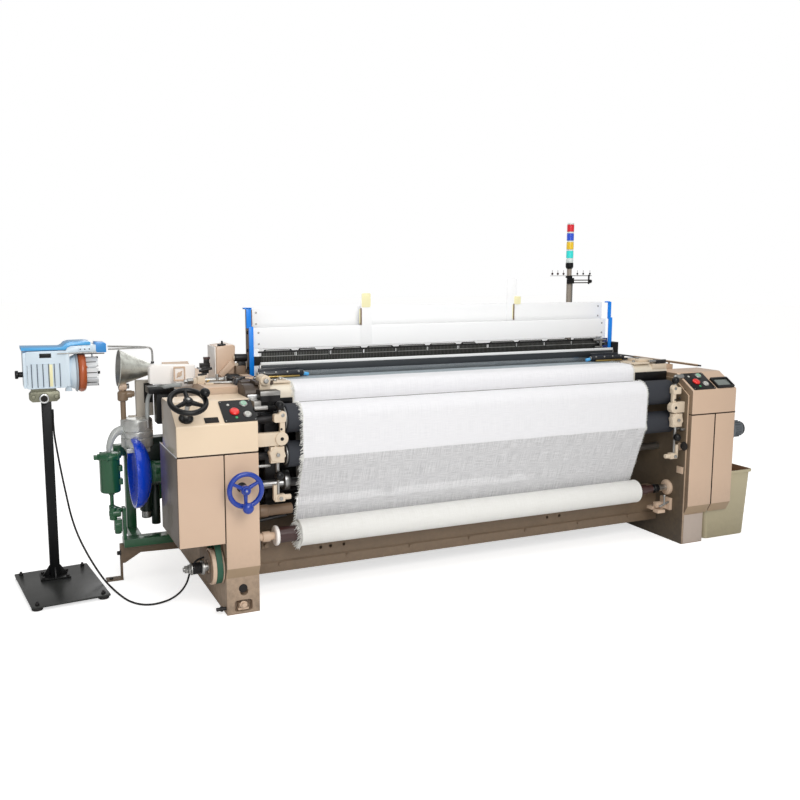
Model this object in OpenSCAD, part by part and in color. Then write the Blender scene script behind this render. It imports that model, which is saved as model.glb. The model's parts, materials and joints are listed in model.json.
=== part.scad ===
// Water-jet power loom with its weft feeder on a floor stand.
// X runs along the loom, Y from the weaver's side to the rear, Z up. Millimetres.
// The loom is laid out from its own centre line (x = 0), the front of its legs (y = 0)
// and the floor (z = 0), and placed() then centres the whole set over the origin.

/* [Main frame] */
// Clear width between the two side frames
inside_w = 2612; // [2400:1:2800]
// Thickness of a side frame across the loom
frame_t = 160; // [120:1:200]
// Depth of the side frames from front to rear
frame_depth = 1500; // [1420:1:1700]
// Height of the side frames behind the panels
frame_h = 1050; // [1045:1:1056]
// Web of the side frame casting
frame_web = 36; // [20:1:60]
// Height of the lower edge of the front girder
girder_z = 100; // [60:1:110]
// Front face of the front girder
girder_y = 230; // [220:1:260]

/* [Covers] */
// How far the covers stand in front of the legs
cover_out = 30; // [20:1:40]
// Height of the seam between covers and panel caps
seam_z = 790; // [740:1:830]
// Height of the fold where the control panel starts
fold_z = 933; // [900:1:960]
// Run of the sloped panel from front to rear
panel_run = 145; // [120:1:160]
// Rise of the sloped panel
panel_rise = 91; // [70:1:100]
// Sheet thickness of covers and caps
sheet_t = 3; // [2:0.5:5]
// Width of the outer part of the left cover
left_outer_w = 214; // [180:1:260]
// Width of the outer part of the right cover
right_outer_w = 154; // [120:1:200]
// Gap between neighbouring covers
cover_gap = 4; // [2:0.5:8]
// Lower edge of the leg covers
leg_cover_z = 237; // [200:1:300]
// Lower edge of the left outer cover
outer_cover_z = 366; // [340:1:420]
// Depth of the left outer cover
outer_cover_depth = 410; // [360:1:430]

/* [Cloth path] */
// Width of the cloth
cloth_w = 2112; // [1800:1:2200]
// Height of the cloth at the fell
cloth_z = 1076; // [1070:1:1078]
// Radius of the upper take-up roller
take_up_r = 72; // [60:1:76]
// Radius of the lower roller
guide_r = 65; // [50:1:70]
// Radius of the cloth roll with its wound cloth
roll_r = 67; // [50:1:75]
// Radius of the core of the cloth roller
core_r = 40; // [25:1:45]
// Radius of the roller journals
journal_r = 20; // [14:1:24]
// Front face of the breast beam
breast_y = 192; // [188:1:200]

/* [Weaving parts] */
// Half stroke of the two heald frames against each other
shed = 52; // [30:1:60]
// Thickness of a heald frame
heald_t = 24; // [18:1:28]
// Front face of the front heald frame
heald_y = 590; // [588:1:600]
// Number of heddle groups in one heald frame
heddles = 54; // [20:1:70]
// Length of the reed
reed_w = 2270; // [2200:1:2280]
// Number of gaps in the reed
reed_gaps = 96; // [40:1:120]
// Radius of the warp beam flanges
beam_flange_r = 330; // [250:1:350]

/* [Handwheels] */
// Outer radius of the blue take-up handwheel
wheel_r = 86; // [70:1:100]
// Outer radius of the black handwheel
top_wheel_r = 90; // [70:1:100]

/* [Feeder stand] */
// Height of the axis of the weft feeder
feeder_z = 1106; // [1060:1:1200]
// Width of the stand's base plate along X
base_w = 375; // [300:1:450]
// Length of the stand's base plate along Y
base_l = 555; // [450:1:650]
// Thickness of the base plate
base_t = 9; // [5:1:14]
// Side of the square pole
pole_w = 48; // [35:1:60]
// Turn of the stand about the vertical
stand_turn = 6; // [0:1:12]

/* [Pump] */
// Radius of the blue flywheel
flywheel_r = 182; // [150:1:190]
// Radius of the green water tank
tank_r = 52; // [40:1:56]

/* [Waste bin] */
// Height of the bin
bin_h = 412; // [350:1:424]
// Wall of the bin
bin_wall = 4; // [3:0.5:8]

/* [Hidden] */
$fn = 64;

// The set is centred over the origin by these two moves.
centre_dx = 253.327;
centre_dy = -729.512;

tan_paint = "#c3ad90";
tan_dark = "#8a7560";
steel = "silver";
black = "#1c1c1e";
roller_grey = "#3b3e46";
blue = "#1d3fae";
green = "#1d5a3c";
cloth_white = "#f2f2ee";

// Clearances: run for shafts in bores, slip for faces that slide or lie close.
run = 0.05;
slip = 0.3;

// Side frames
half_in = inside_w / 2;
half_out = half_in + frame_t;
shoulder_z = fold_z - cover_out;
cap_depth = 300;
cap_top_z = fold_z + panel_rise;
panel_angle = atan2(panel_rise, panel_run);
pocket = [[100, 250, 510, 840], [560, 230, 860, 960], [900, 230, 1180, 900],
          [1220, 420, 1420, 900]];

// Axes of the shafts, as [y, z]
take_up_axis = [135, 912];
guide_axis = [130, 733];
roll_axis = [140, 322];
sley_axis = [560, 420];
crank_axis = [250, 560];
let_off_axis = [90, 225];
warp_axis = [1270, 470];
rest_axis = [1420, 985];
pump_axis = [700, 574];
motor_axis = [75, 662];
sley_shaft_r = 30;
crank_r = 22;
warp_shaft_r = 30;
rest_r = 55;

// Take-up rollers sit towards the right, as the drive takes room on the left.
roller_x0 = -1130;
roller_x1 = 1269;

// Breast beam
beam_depth = 143;
beam_low_z = 972;
cloth_t = 3;
beam_top_z = cloth_z - cloth_t / 2 - 0.5;
beam_nose_r = 46;
beam_heel_r = 14;

// Handwheels
wheel_x = -1391;
wheel_y = -95;
wheel_z = 628;
wheel_shaft_r = 12;
top_wheel_x = -1633;
top_wheel_s = 50;
top_wheel_lift = 105;
top_stem_r = 11;

// Control plates and their buttons, s runs up the slope
plate_t = 4;
plate_s0 = 6;
plate_l = 152;
left_plate_x = -1463;
left_plate_w = 157;
right_plate_x = 1328;
right_plate_w = 166;
button_travel = 5;
stem_r = 8;
stop_at = [60, 74];
start_at = [116, 128];
inch_at = [118, 52];
lamp_at = [40, 124];

// Pump, left of the frame
flywheel_x = -1780;
post_x = -1839;
post_w = 50;
post_depth = 80;
pump_floor_z = 190;
pump_top_z = pump_axis[1] + flywheel_r + 4;
tank_y = 742;
tank_z = 478;
tank_h = 212;
lid_lip = 8;

// Feeder stand and feeder
feeder_x = -2175;
feeder_y = 850;
base_x = -2157;
base_y = 712;
base_foot_h = 16;
pole_top = 985;
cone_x = -1817;
cone_y = 780;
cone_l = 168;
cone_tilt = 4;

// Signal tower
tower_x = 1367;
tower_y = 1300;
tower_top = 1636;
lamp_r = 25;
lens_h = 61;

// Bin
bin_x0 = 1483;
bin_x1 = 1855;
bin_y = 18;
bin_d = 270;
bin_taper = 28;

// Cable from the feeder stand to the loom, points on the loom's own axes
cable_r = 5;
cable_pts = [
    [-2145.6, 850, 875.4], [-2145.4, 849, 830], [-2142, 836, 760], [-2125, 796, 610], [-2106, 780, 480],
    [-2088, 752, 368], [-2062, 722, 270], [-2026, 692, 180], [-1984, 668, 96],
    [-1946, 640, 34], [-1918, 580, 9], [-1896, 480, 6], [-1868, 380, 6],
    [-1828, 312, 6], [-1778, 282, 6], [-1722, 284, 8], [-1668, 304, 14],
    [-1620, 326, 34], [-1588, 334, 72], [-1572, 330, 122], [-1554, 326, 166],
    [-1524, 322, 192], [-1466.5, 322, 200],
];

// Places children laid out on the loom's own axes.
module placed() translate([centre_dx, centre_dy, 0]) children();

// A cylinder along X from x0 to x1 about the axis [y, z].
module bar_x(axis, r, x0, x1)
    translate([x0, axis[0], axis[1]]) rotate([0, 90, 0]) cylinder(r = r, h = x1 - x0);

// A block given by two corners.
module block(a, b) translate(a) cube(b - a);

// A flat outline in Y and Z, extruded along X from x0 to x1.
module slab_x(x0, x1) translate([x0, 0, 0]) rotate([90, 0, 90]) linear_extrude(x1 - x0) children();

// A rectangle with rounded corners.
module round_rect(w, h, r) {
    translate([r, 0]) square([w - 2 * r, h]);
    translate([0, r]) square([w, h - 2 * r]);
    for (x = [r, w - r], y = [r, h - r]) translate([x, y]) circle(r, $fn = 32);
}

// A ring about Z.
module ring(r_out, r_in, h) difference() {
    cylinder(r = r_out, h = h);
    translate([0, 0, -1]) cylinder(r = r_in, h = h + 2);
}

// Children stand on the sloped panel: x along the loom, y up the slope, z out of it.
module on_panel() translate([0, -cover_out, fold_z]) rotate([panel_angle, 0, 0]) children();

// Side frames
module side_outline() polygon([
    [0, 0], [frame_depth, 0], [frame_depth, rest_axis[1] + rest_r + 30],
    [frame_depth - 60, frame_h], [cap_depth + 20, frame_h],
    [cap_depth + 20, cap_top_z - cover_out], [panel_run - cover_out + 12, cap_top_z - cover_out],
    [0, shoulder_z],
]);

// The casting lies from x = 0 (inner face) to frame_t (outer face), with its pockets outside.
module side_casting(shafts) difference() {
    slab_x(0, frame_t) side_outline();
    for (p = pocket) slab_x(frame_web, frame_t + 1)
        translate([p[0], p[1]]) round_rect(p[2] - p[0], p[3] - p[1], 30);
    for (s = shafts) bar_x([s[0], s[1]], s[2] + run, -1, frame_t + 1);
    foot_cut();
}

// Round hole and slot in the lower front of the leg.
module foot_cut() {
    translate([frame_t / 2 - 4, -1, 109]) rotate([-90, 0, 0]) cylinder(r = 20, h = 41);
    translate([frame_t / 2 - 44, -1, 12]) rotate([90, 0, 0])
        translate([0, 0, -41]) linear_extrude(41) round_rect(88, 56, 16);
}

both_shafts = [
    [take_up_axis[0], take_up_axis[1], journal_r], [guide_axis[0], guide_axis[1], journal_r],
    [roll_axis[0], roll_axis[1], journal_r], [sley_axis[0], sley_axis[1], sley_shaft_r],
    [warp_axis[0], warp_axis[1], warp_shaft_r], [rest_axis[0], rest_axis[1], journal_r],
    [crank_axis[0], crank_axis[1], crank_r],
];
left_shafts = [
    [pump_axis[0], pump_axis[1], journal_r], [let_off_axis[0], let_off_axis[1], journal_r],
];

module left_side_frame() color(tan_paint) placed() {
    difference() {
        translate([-half_in, 0, 0]) mirror([1, 0, 0]) side_casting(concat(both_shafts, left_shafts));
        translate([wheel_x, -1, wheel_z]) rotate([-90, 0, 0])
            cylinder(r = wheel_shaft_r + run, h = 61);
    }
    foot_bolt(-half_in - frame_t / 2);
}

module right_side_frame() color(tan_paint) placed() {
    translate([half_in, 0, 0]) side_casting(both_shafts);
    foot_bolt(half_in + frame_t / 2);
    top_rail();
}

// Clamp block that shows in the slot of the leg.
module foot_bolt(x) block([x - 22, 8, 14], [x + 22, 42, 50]);

// Rail along the outer top edge of the right frame.
rail_x = 1452;
module top_rail() {
    for (y = [340, 640]) translate([rail_x, y, frame_h - 1]) cylinder(r = 6, h = 14);
    translate([rail_x, 90, frame_h + 16]) rotate([-90, 0, 0]) cylinder(r = 7, h = 580);
}

// Girders and breast beam
girder_t = 90;
girder_h = 205;
rear_y = 800;
rear_z = 120;
rear_depth = 100;
rear_h = 130;
rear_wall = 12;
module front_girder() color(tan_dark) placed() {
    lip = 9;
    difference() {
        slab_x(-half_in, half_in) polygon([
            [girder_y, girder_z], [girder_y + girder_t, girder_z],
            [girder_y + girder_t, girder_z + girder_h],
            [girder_y + lip, girder_z + girder_h], [girder_y + lip, girder_z + 58],
            [girder_y, girder_z + 50],
        ]);
        slab_x(-half_in + 30, half_in - 30) translate([girder_y + 24, girder_z - 1])
            square([girder_t - 36, girder_h - 16]);
        for (x = [-905, -850, -775, 505, 590]) translate([x, girder_y - 1, girder_z + 98])
            rotate([-90, 0, 0]) cylinder(r = 9, h = 30, $fn = 24);
    }
}

module rear_girder() color(tan_dark) placed() {
    difference() {
        block([-half_in, rear_y, rear_z], [half_in, rear_y + rear_depth, rear_z + rear_h]);
        block([-half_in + 30, rear_y + rear_wall, rear_z - 1],
              [half_in - 30, rear_y + rear_depth - rear_wall, rear_z + rear_h - rear_wall]);
    }
    bar_x([frame_depth - 100, 860], 34, -half_in, half_in);
}

module breast_outline() {
    translate([breast_y + beam_heel_r, beam_low_z]) square([beam_depth - beam_heel_r, 40]);
    translate([breast_y, beam_low_z + beam_heel_r])
        square([beam_depth, beam_top_z - beam_nose_r - beam_low_z - beam_heel_r]);
    translate([breast_y + beam_nose_r, beam_top_z - beam_nose_r - 1])
        square([beam_depth - beam_nose_r, beam_nose_r + 1]);
    translate([breast_y + beam_nose_r, beam_top_z - beam_nose_r]) circle(beam_nose_r);
    translate([breast_y + beam_heel_r, beam_low_z + beam_heel_r]) circle(beam_heel_r);
}

module breast_beam() color(tan_paint) placed() slab_x(-half_in, half_in) breast_outline();

// Covers: sheet shells that stand on studs against the legs.
module leg_shell(x0, x1) {
    chamfer_z = leg_cover_z - 54;
    back = -slip;
    difference() {
        slab_x(x0, x1) polygon([
            [-cover_out, leg_cover_z], [-cover_out, seam_z], [back, seam_z],
            [back, chamfer_z], [back - sheet_t, chamfer_z],
        ]);
        slab_x(x0 + sheet_t, x1 - sheet_t) polygon([
            [-cover_out + sheet_t, leg_cover_z + 1], [-cover_out + sheet_t, seam_z - sheet_t],
            [back + 1, seam_z - sheet_t], [back + 1, chamfer_z - 1], [back, chamfer_z - 1],
        ]);
    }
}

module cover_studs(xs, zs) for (x = xs, z = zs)
    translate([x, -cover_out + sheet_t / 2, z]) rotate([-90, 0, 0])
        cylinder(r = 9, h = cover_out - sheet_t / 2, $fn = 24);

leg_cover_x0 = -half_out - 5;
leg_cover_x1 = -half_in - slip;
module left_leg_cover() color(tan_paint) placed() difference() {
    union() {
        leg_shell(leg_cover_x0, leg_cover_x1);
        cover_studs([-half_out + 24, -half_in - 24], [300, 740]);
    }
    translate([wheel_x, -cover_out - 1, wheel_z]) rotate([-90, 0, 0])
        cylinder(r = wheel_shaft_r + 4, h = 20);
}

left_cover_x0 = leg_cover_x0 - cover_gap - left_outer_w;
left_cover_x1 = leg_cover_x0 - cover_gap;
module left_front_cover() color(tan_paint) placed() {
    back = outer_cover_depth - cover_out;
    difference() {
        block([left_cover_x0, -cover_out, outer_cover_z], [left_cover_x1, back, seam_z]);
        block([left_cover_x0 + sheet_t, -cover_out + sheet_t, outer_cover_z - 1],
              [left_cover_x1 + 1, back + 1, seam_z - sheet_t]);
    }
    block([left_cover_x1 - 22, -cover_out + sheet_t - 1, outer_cover_z + 12],
          [left_cover_x1, -cover_out + sheet_t + 2, seam_z - 12]);
    for (z = [outer_cover_z + 40, seam_z - 60]) {
        block([left_cover_x1 - 20, -cover_out + sheet_t, z], [left_cover_x1, 40, z + 30]);
        block([left_cover_x1 - 20, 14, z], [-half_out, 40, z + 30]);
    }
}

right_cover_x0 = half_in + 8;
right_seam_x = 1493;
right_cover_x1 = right_seam_x + cover_gap + right_outer_w;
module right_leg_cover() color(tan_paint) placed() {
    leg_shell(right_cover_x0, right_seam_x);
    cover_studs([half_in + 34, half_out - 24], [300, 740]);
}

module right_outer_cover() color(tan_paint) placed() {
    x0 = right_seam_x + cover_gap;
    leg_shell(x0, right_cover_x1);
    for (z = [bin_h + 48, 740]) {
        block([half_out, 6, z - 16], [x0 + 40, 10, z + 16]);
        block([x0 + 20, -cover_out + sheet_t / 2, z - 16], [x0 + 24, 8, z + 16]);
    }
}

// Panel cap: closed at the sides, open below and behind.
module cap_outline(inset) polygon([
    [-cover_out + inset, seam_z + cover_gap - (inset > 0 ? 1 : 0)],
    [-cover_out + inset, fold_z - inset * 0.3],
    [panel_run - cover_out + inset * 0.3, cap_top_z - inset],
    [cap_depth + (inset > 0 ? 1 : 0), cap_top_z - inset],
    [cap_depth + (inset > 0 ? 1 : 0), seam_z + cover_gap - (inset > 0 ? 1 : 0)],
]);

// The frame, from x = leg to leg + frame_t, passes through the cap's inner wall.
module cap_shell(x0, x1, leg) difference() {
    slab_x(x0, x1) cap_outline(0);
    slab_x(x0 + sheet_t, x1 - sheet_t) cap_outline(sheet_t);
    slab_x(leg - slip, leg + frame_t + slip) offset(delta = slip) side_outline();
}

// Rib that carries the cap on the shoulder of the side frame.
module cap_rib(x) slab_x(x, x + 12) polygon([
    [panel_run - cover_out + 30, cap_top_z - cover_out],
    [panel_run - cover_out + 30, cap_top_z - sheet_t / 2],
    [cap_depth - 20, cap_top_z - sheet_t / 2], [cap_depth - 20, cap_top_z - cover_out],
]);

module stem_holes(plate_x) for (p = [stop_at, start_at, inch_at])
    translate([plate_x + p[0], plate_s0 + p[1] - 6, -20]) cylinder(r = stem_r + 2, h = 22);

module left_panel_cap() color(tan_paint) placed() {
    difference() {
        cap_shell(left_cover_x0, leg_cover_x1, -half_out);
        on_panel() stem_holes(left_plate_x);
        on_panel() translate([top_wheel_x, top_wheel_s, -10]) cylinder(r = top_stem_r + run, h = 12);
    }
    for (x = [-half_out + 20, -half_in - 32]) cap_rib(x);
    on_panel() translate([top_wheel_x, top_wheel_s, -12]) ring(top_stem_r + 9, top_stem_r + run, 11);
    on_panel() translate([top_wheel_x, top_wheel_s, -0.5]) ring(27, top_stem_r + run, 22);
}

module right_panel_cap() color(tan_paint) placed() {
    difference() {
        cap_shell(right_cover_x0, right_cover_x1, half_in);
        on_panel() stem_holes(right_plate_x);
    }
    for (x = [half_in + 20, half_out - 32]) cap_rib(x);
}

module control_plate(x, w) on_panel() translate([x, plate_s0, 0]) difference() {
    union() {
        linear_extrude(plate_t) round_rect(w, plate_l, 8);
        for (p = [stop_at, start_at, inch_at])
            translate([p[0], p[1] - 6, 0]) ring(20, stem_r + run, plate_t + 3);
        translate([lamp_at[0], lamp_at[1] - 6, 0]) cylinder(r = 7, h = plate_t + 4, $fn = 32);
    }
    for (p = [stop_at, start_at, inch_at])
        translate([p[0], p[1] - 6, -1]) cylinder(r = stem_r + run, h = plate_t + 6);
}

module control_plates() color(black) placed() {
    control_plate(left_plate_x, left_plate_w);
    control_plate(right_plate_x, right_plate_w);
}

module display_unit() color(black) placed() on_panel() difference() {
    translate([right_plate_x + right_plate_w + 12, 8, 0]) linear_extrude(15) round_rect(132, 88, 6);
    translate([right_plate_x + right_plate_w + 26, 22, 12]) linear_extrude(4) square([104, 60]);
}

// Push button: cap, collar and stem through the plate. It sinks by button_travel.
module button(plate_x, at, cap_r, cap_h) on_panel() translate([plate_x + at[0], plate_s0 + at[1] - 6, 0]) {
    translate([0, 0, plate_t + 3 + button_travel + 1]) rotate_extrude() polygon([
        [0, 0], [cap_r - 2, 0], [cap_r, 3], [cap_r, cap_h - 4], [cap_r - 4, cap_h], [0, cap_h],
    ]);
    translate([0, 0, -8]) cylinder(r = stem_r, h = plate_t + button_travel + 14);
}

module left_stop_button() color("red") placed() button(left_plate_x, stop_at, 18, 14);
module left_start_button() color("#8fc0a4") placed() button(left_plate_x, start_at, 15, 12);
module left_inch_button() color("#c9cdc8") placed() button(left_plate_x, inch_at, 15, 12);
module right_stop_button() color("red") placed() button(right_plate_x, stop_at, 18, 14);
module right_start_button() color("#8fc0a4") placed() button(right_plate_x, start_at, 15, 12);
module right_inch_button() color("#c9cdc8") placed() button(right_plate_x, inch_at, 15, 12);

// Handwheels
module spoke(a, r0, r1, w) rotate([0, 0, a]) translate([r0, 0, 0]) rotate([0, 90, 0])
    cylinder(r = w, h = r1 - r0, $fn = 24);

module wheel_body(r, rim, hub_r, hub_h, spokes) {
    rotate_extrude() translate([r - rim, 0]) circle(rim, $fn = 32);
    translate([0, 0, -hub_h / 2]) cylinder(r = hub_r, h = hub_h);
    for (a = spokes) spoke(a, hub_r - 4, r - rim, rim * 0.8);
}

// The knob is painted over with the wheel and doesn't turn on it.
module take_up_handwheel() color(blue) placed() translate([wheel_x, wheel_y, wheel_z]) rotate([90, 0, 0]) {
    wheel_body(wheel_r, 10, 22, 34, [30, 150, 270]);
    translate([0, 0, 14]) cylinder(r = 12, h = 8);
    translate([0, -(wheel_r - 10), 0]) {
        cylinder(r = 9, h = 18);
        translate([0, 0, 26]) sphere(r = 20);
    }
    translate([0, 0, -(60 - wheel_y) + 1]) cylinder(r = wheel_shaft_r, h = 60 - wheel_y);
}

module top_wheel_place() on_panel() translate([top_wheel_x, top_wheel_s, top_wheel_lift]) children();

module top_handwheel() color(black) placed() top_wheel_place() {
    wheel_body(top_wheel_r, 9, 22, 26, [90, 210, 330]);
    translate([0, 0, -top_wheel_lift - 20]) cylinder(r = top_stem_r, h = top_wheel_lift + 20);
    rotate([0, 0, 15]) translate([top_wheel_r - 9, 0, 0]) cylinder(r = 5, h = 50, $fn = 32);
}

module top_handwheel_knob() color(black) placed() top_wheel_place() rotate([0, 0, 15])
    translate([top_wheel_r - 9, 0, 9 + slip]) rotate_extrude() polygon([
        [5 + run, 0], [10, 0], [15, 8], [17, 22], [14, 34], [8, 39], [5 + run, 39],
    ]);

// Rollers of the take-up
module roller(axis, r, x0, x1) {
    bar_x(axis, r, x0, x1);
    bar_x(axis, r - 6, x0 - 8, x1 + 8);
    bar_x(axis, journal_r, -half_in - 60, half_in + 60);
}

module take_up_roller() color(roller_grey) placed() roller(take_up_axis, take_up_r, roller_x0, roller_x1);
module guide_roller() color(roller_grey) placed() roller(guide_axis, guide_r, roller_x0 + 4, roller_x1 + 10);

module cloth_roller() color(tan_dark) placed() {
    bar_x(roll_axis, core_r, -1168, 1075);
    bar_x(roll_axis, core_r + 10, -1184, -1168);
    bar_x(roll_axis, 14, -1300, 1200);
    bar_x(roll_axis, 26, 1200, 1232);
    bar_x(roll_axis, journal_r, 1230, half_in + 60);
    bar_x(roll_axis, journal_r, -half_in - 60, -1180);
}

// Layers of the roll show as small steps at its ends.
module wound_cloth() color(cloth_white) placed() difference() {
    union() for (i = [0:3]) bar_x(roll_axis, roll_r - 4 * i, -cloth_w / 2 - i, cloth_w / 2 + i);
    bar_x(roll_axis, core_r, -cloth_w, cloth_w);
}

// Brackets that carry the levers and ball knobs beside the rollers. side is -1 left, 1 right.
module take_up_bracket(side, reach) {
    x_in = side * half_in;
    x_end = side * (half_in - reach);
    module part(x0, x1, y0, y1, z0, z1)
        block([min(x0, x1), y0, z0], [max(x0, x1), y1, z1]);
    part(x_in, x_end, 22, 56, 796, 868);
    part(x_end, x_end + side * 26, 26, 48, 866, 950);
    part(x_end, x_end + side * 56, 22, 54, 914, 950);
    part(x_end + side * 8, x_end + side * 76, 24, 54, 712, 797);
    part(x_end + side * 30, x_end + side * 48, 30, 48, 640, 714);
    part(x_end + side * 30, x_end + side * 44, 30, 48, 556, 642);
    part(x_end + side * 6, x_end + side * 56, 26, 56, 522, 560);
    translate([x_end + side * 24, 38, 948]) cylinder(r = 8, h = 40, $fn = 32);
    translate([x_end + side * 24, 36, 990]) sphere(r = 21);
    translate([x_end + side * 38, 18, 655]) sphere(r = 22);
}

module take_up_brackets() color(tan_paint) placed() {
    take_up_bracket(-1, 150);
    take_up_bracket(1, 92);
}

// Cloth path: points in [y, z] along the middle of the sheet, from the fell to the cloth roll.
function on_circle(c, r, a) = [c[0] + r * cos(a), c[1] + r * sin(a)];
function arc(c, r, a0, a1, n) = [for (i = [0:n]) on_circle(c, r, a0 + (a1 - a0) * i / n)];
function heading(a, b) = atan2(b[1] - a[1], b[0] - a[0]);
function apart(a, b) = norm(b - a);
lie = cloth_t / 2 + 0.5;
top_r = take_up_r + lie;
low_r = guide_r + lie;
end_r = roll_r + lie;
nose = [breast_y + beam_nose_r, beam_top_z - beam_nose_r];
nook_r = 10;
nook = [breast_y - lie - nook_r, take_up_axis[1] + top_r + nook_r + 4];
nook_end = nook - [0, nook_r];
meet_turn = heading(take_up_axis, nook_end) + acos(top_r / apart(take_up_axis, nook_end));
front_turn = heading(take_up_axis, guide_axis) - acos((top_r - low_r) / apart(take_up_axis, guide_axis));
leave_turn = heading(guide_axis, roll_axis) - acos((low_r + end_r) / apart(guide_axis, roll_axis));
cloth_path = concat(
    [[452, cloth_z]],
    arc(nose, beam_nose_r + lie, 90, 180, 8),
    arc(nook, nook_r, 0, -90, 4),
    arc(take_up_axis, top_r, meet_turn, 360 + front_turn, 12),
    arc(guide_axis, low_r, 360 + front_turn, 360 + leave_turn, 4),
    arc(roll_axis, end_r, 180 + leave_turn, 180 + leave_turn - 30, 3)
);

// Normal of a path at point i, from its neighbours.
function path_normal(p, i) = let (
    a = p[max(i - 1, 0)], b = p[min(i + 1, len(p) - 1)], d = (b - a) / norm(b - a)
) [-d[1], d[0]];
module ribbon(p, t) polygon(concat(
    [for (i = [0:len(p) - 1]) p[i] + path_normal(p, i) * t / 2],
    [for (i = [len(p) - 1:-1:0]) p[i] - path_normal(p, i) * t / 2]
));

module cloth_sheet() color(cloth_white) placed() slab_x(-cloth_w / 2, cloth_w / 2) ribbon(cloth_path, cloth_t);

// Warp from the heald frames over the back rest to the warp beam.
warp_r = 250;
rest_turn = 90 + heading([700, cloth_z], [rest_axis[0], rest_axis[1] + rest_r + lie]);
down_turn = heading(rest_axis, warp_axis) + acos((rest_r - warp_r) / apart(rest_axis, warp_axis));
warp_path = concat(
    [[700, cloth_z]],
    arc(rest_axis, rest_r + lie, rest_turn, down_turn, 8),
    [on_circle(warp_axis, warp_r + lie, down_turn)]
);
module warp_sheet() color(cloth_white) placed() slab_x(-cloth_w / 2, cloth_w / 2)
    ribbon(warp_path, cloth_t);

// Temples hold the cloth's edges in front of the reed.
module temple(side) {
    x0 = side > 0 ? cloth_w / 2 - 130 : -cloth_w / 2 - 110;
    block([x0, 418, cloth_z + 6], [x0 + 240, 448, cloth_z + 34]);
    translate([x0 + 14, 433, cloth_z + 20]) rotate([0, 90, 0]) cylinder(r = 17, h = 212, $fn = 32);
    block([side > 0 ? x0 + 236 : -half_in, 424, cloth_z + 4],
          [side > 0 ? half_in : x0 + 4, 444, cloth_z + 14]);
    block([side > 0 ? half_in - 30 : -half_in, cap_depth + 60, cloth_z - 60],
          [side > 0 ? half_in : -half_in + 30, 444, cloth_z + 14]);
}

module temples() color("#4a4a4a") placed() for (side = [-1, 1]) temple(side);

// Heald frames
bar_h = 112;
low_bar_h = 78;
heald_low = 1214;
heald_end_x = 1147.7;
module heald_frame(y, lift, support_x) {
    z_top = heald_low + lift;
    z_low = z_top - 345 - low_bar_h;
    for (z = [[z_top, bar_h], [z_low, low_bar_h]])
        block([-heald_end_x, y, z[0]], [heald_end_x, y + heald_t, z[0] + z[1]]);
    for (side = [-1, 1]) block([min(side * heald_end_x, side * (heald_end_x - 26)), y, z_low],
        [max(side * heald_end_x, side * (heald_end_x - 26)), y + heald_t, z_top + bar_h]);
    for (z = [z_top - 14, z_low + low_bar_h + 8])
        block([-heald_end_x + 10, y + heald_t / 2 - 4, z], [heald_end_x - 10, y + heald_t / 2 + 4, z + 6]);
    heddle_step = (2 * heald_end_x - 120) / heddles;
    for (i = [0:heddles - 1]) translate([-heald_end_x + 60 + heddle_step * (i + 0.5), y + heald_t / 2 - 2, z_low + low_bar_h - 2])
        cube([6, 4, z_top - z_low - low_bar_h + 4]);
    for (i = [0:10]) slab_heddle_band(-heald_end_x + 44 + i * (2 * heald_end_x - 88) / 11,
        (2 * heald_end_x - 88) / 11 - 14, y + heald_t / 2 - 6, z_top);
    translate([support_x - 33, y - 3, z_top]) cube([66, 4, 305]);
}

// Black band of heddle loops with a trapezoid top, under the upper bar.
module slab_heddle_band(x, w, y, z) translate([x, y + 12, z - 62]) rotate([90, 0, 0])
    linear_extrude(12) polygon([[0, 0], [w, 0], [w, 44], [w - 16, 62], [16, 62], [0, 44]]);

rear_heald_y = heald_y + heald_t + 20;
module front_heald_frame() color("#f4f4f2") placed() heald_frame(heald_y, 0, -497);
module rear_heald_frame() color("#f4f4f2") placed() heald_frame(rear_heald_y, 2 * shed, 475);

// Blue guides: a channel on each side in which the ends of the heald frames slide.
guide_web = 14;
module heald_guide(side) {
    x0 = heald_end_x + slip;
    z0 = 900;
    z1 = heald_low + 2 * shed + bar_h + 2;
    module at_side() if (side > 0) children(); else mirror([1, 0, 0]) children();
    at_side() {
        block([x0, heald_y - 14, z0], [x0 + 26, rear_heald_y + heald_t + 14, z1]);
        block([x0 + 26, heald_y + 4, z0], [half_in, rear_heald_y + heald_t, z0 + 60]);
        block([x0 - 12, heald_y - guide_web, 1010], [x0 + 2, heald_y - slip, z1]);
    }
}
module heald_guides() color(blue) placed() for (side = [-1, 1]) heald_guide(side);

// Sley: rocking shaft, swords and the beam that carries the reed.
sword_xs = [-1090, -380, 380, 1090];
sley_y = 478;
sley_d = 52;
sley_top = 1052;
module sley() color("#3a3a3c") placed() {
    bar_x(sley_axis, sley_shaft_r, -half_in - 30, half_in + 30);
    block([-1140, sley_y, sley_top - 92], [1140, sley_y + sley_d, sley_top]);
    for (x = sword_xs) {
        slab_x(x - 16, x + 16) polygon([
            [sley_axis[0] - 48, sley_axis[1]], [sley_axis[0] + 48, sley_axis[1]],
            [sley_y + sley_d, sley_top - 80], [sley_y, sley_top - 80],
        ]);
        bar_x(sley_axis, 52, x - 30, x + 30);
    }
}

reed_y = 496;
reed_t = 8;
reed_cap_h = 14;
reed_z = sley_top;
reed_h = 98;
module reed() color("#b8bcc0") placed() {
    step = (reed_w - 40) / reed_gaps;
    translate([-reed_w / 2, reed_y + reed_t, reed_z]) rotate([90, 0, 0]) linear_extrude(reed_t) difference() {
        square([reed_w, reed_h]);
        for (i = [0:reed_gaps - 1]) translate([20 + step * (i + 0.25), 12]) square([step / 2, reed_h - 30]);
    }
    block([-reed_w / 2, reed_y - 4, reed_z + reed_h - reed_cap_h],
          [reed_w / 2, reed_y + reed_t + 4, reed_z + reed_h]);
}

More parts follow.
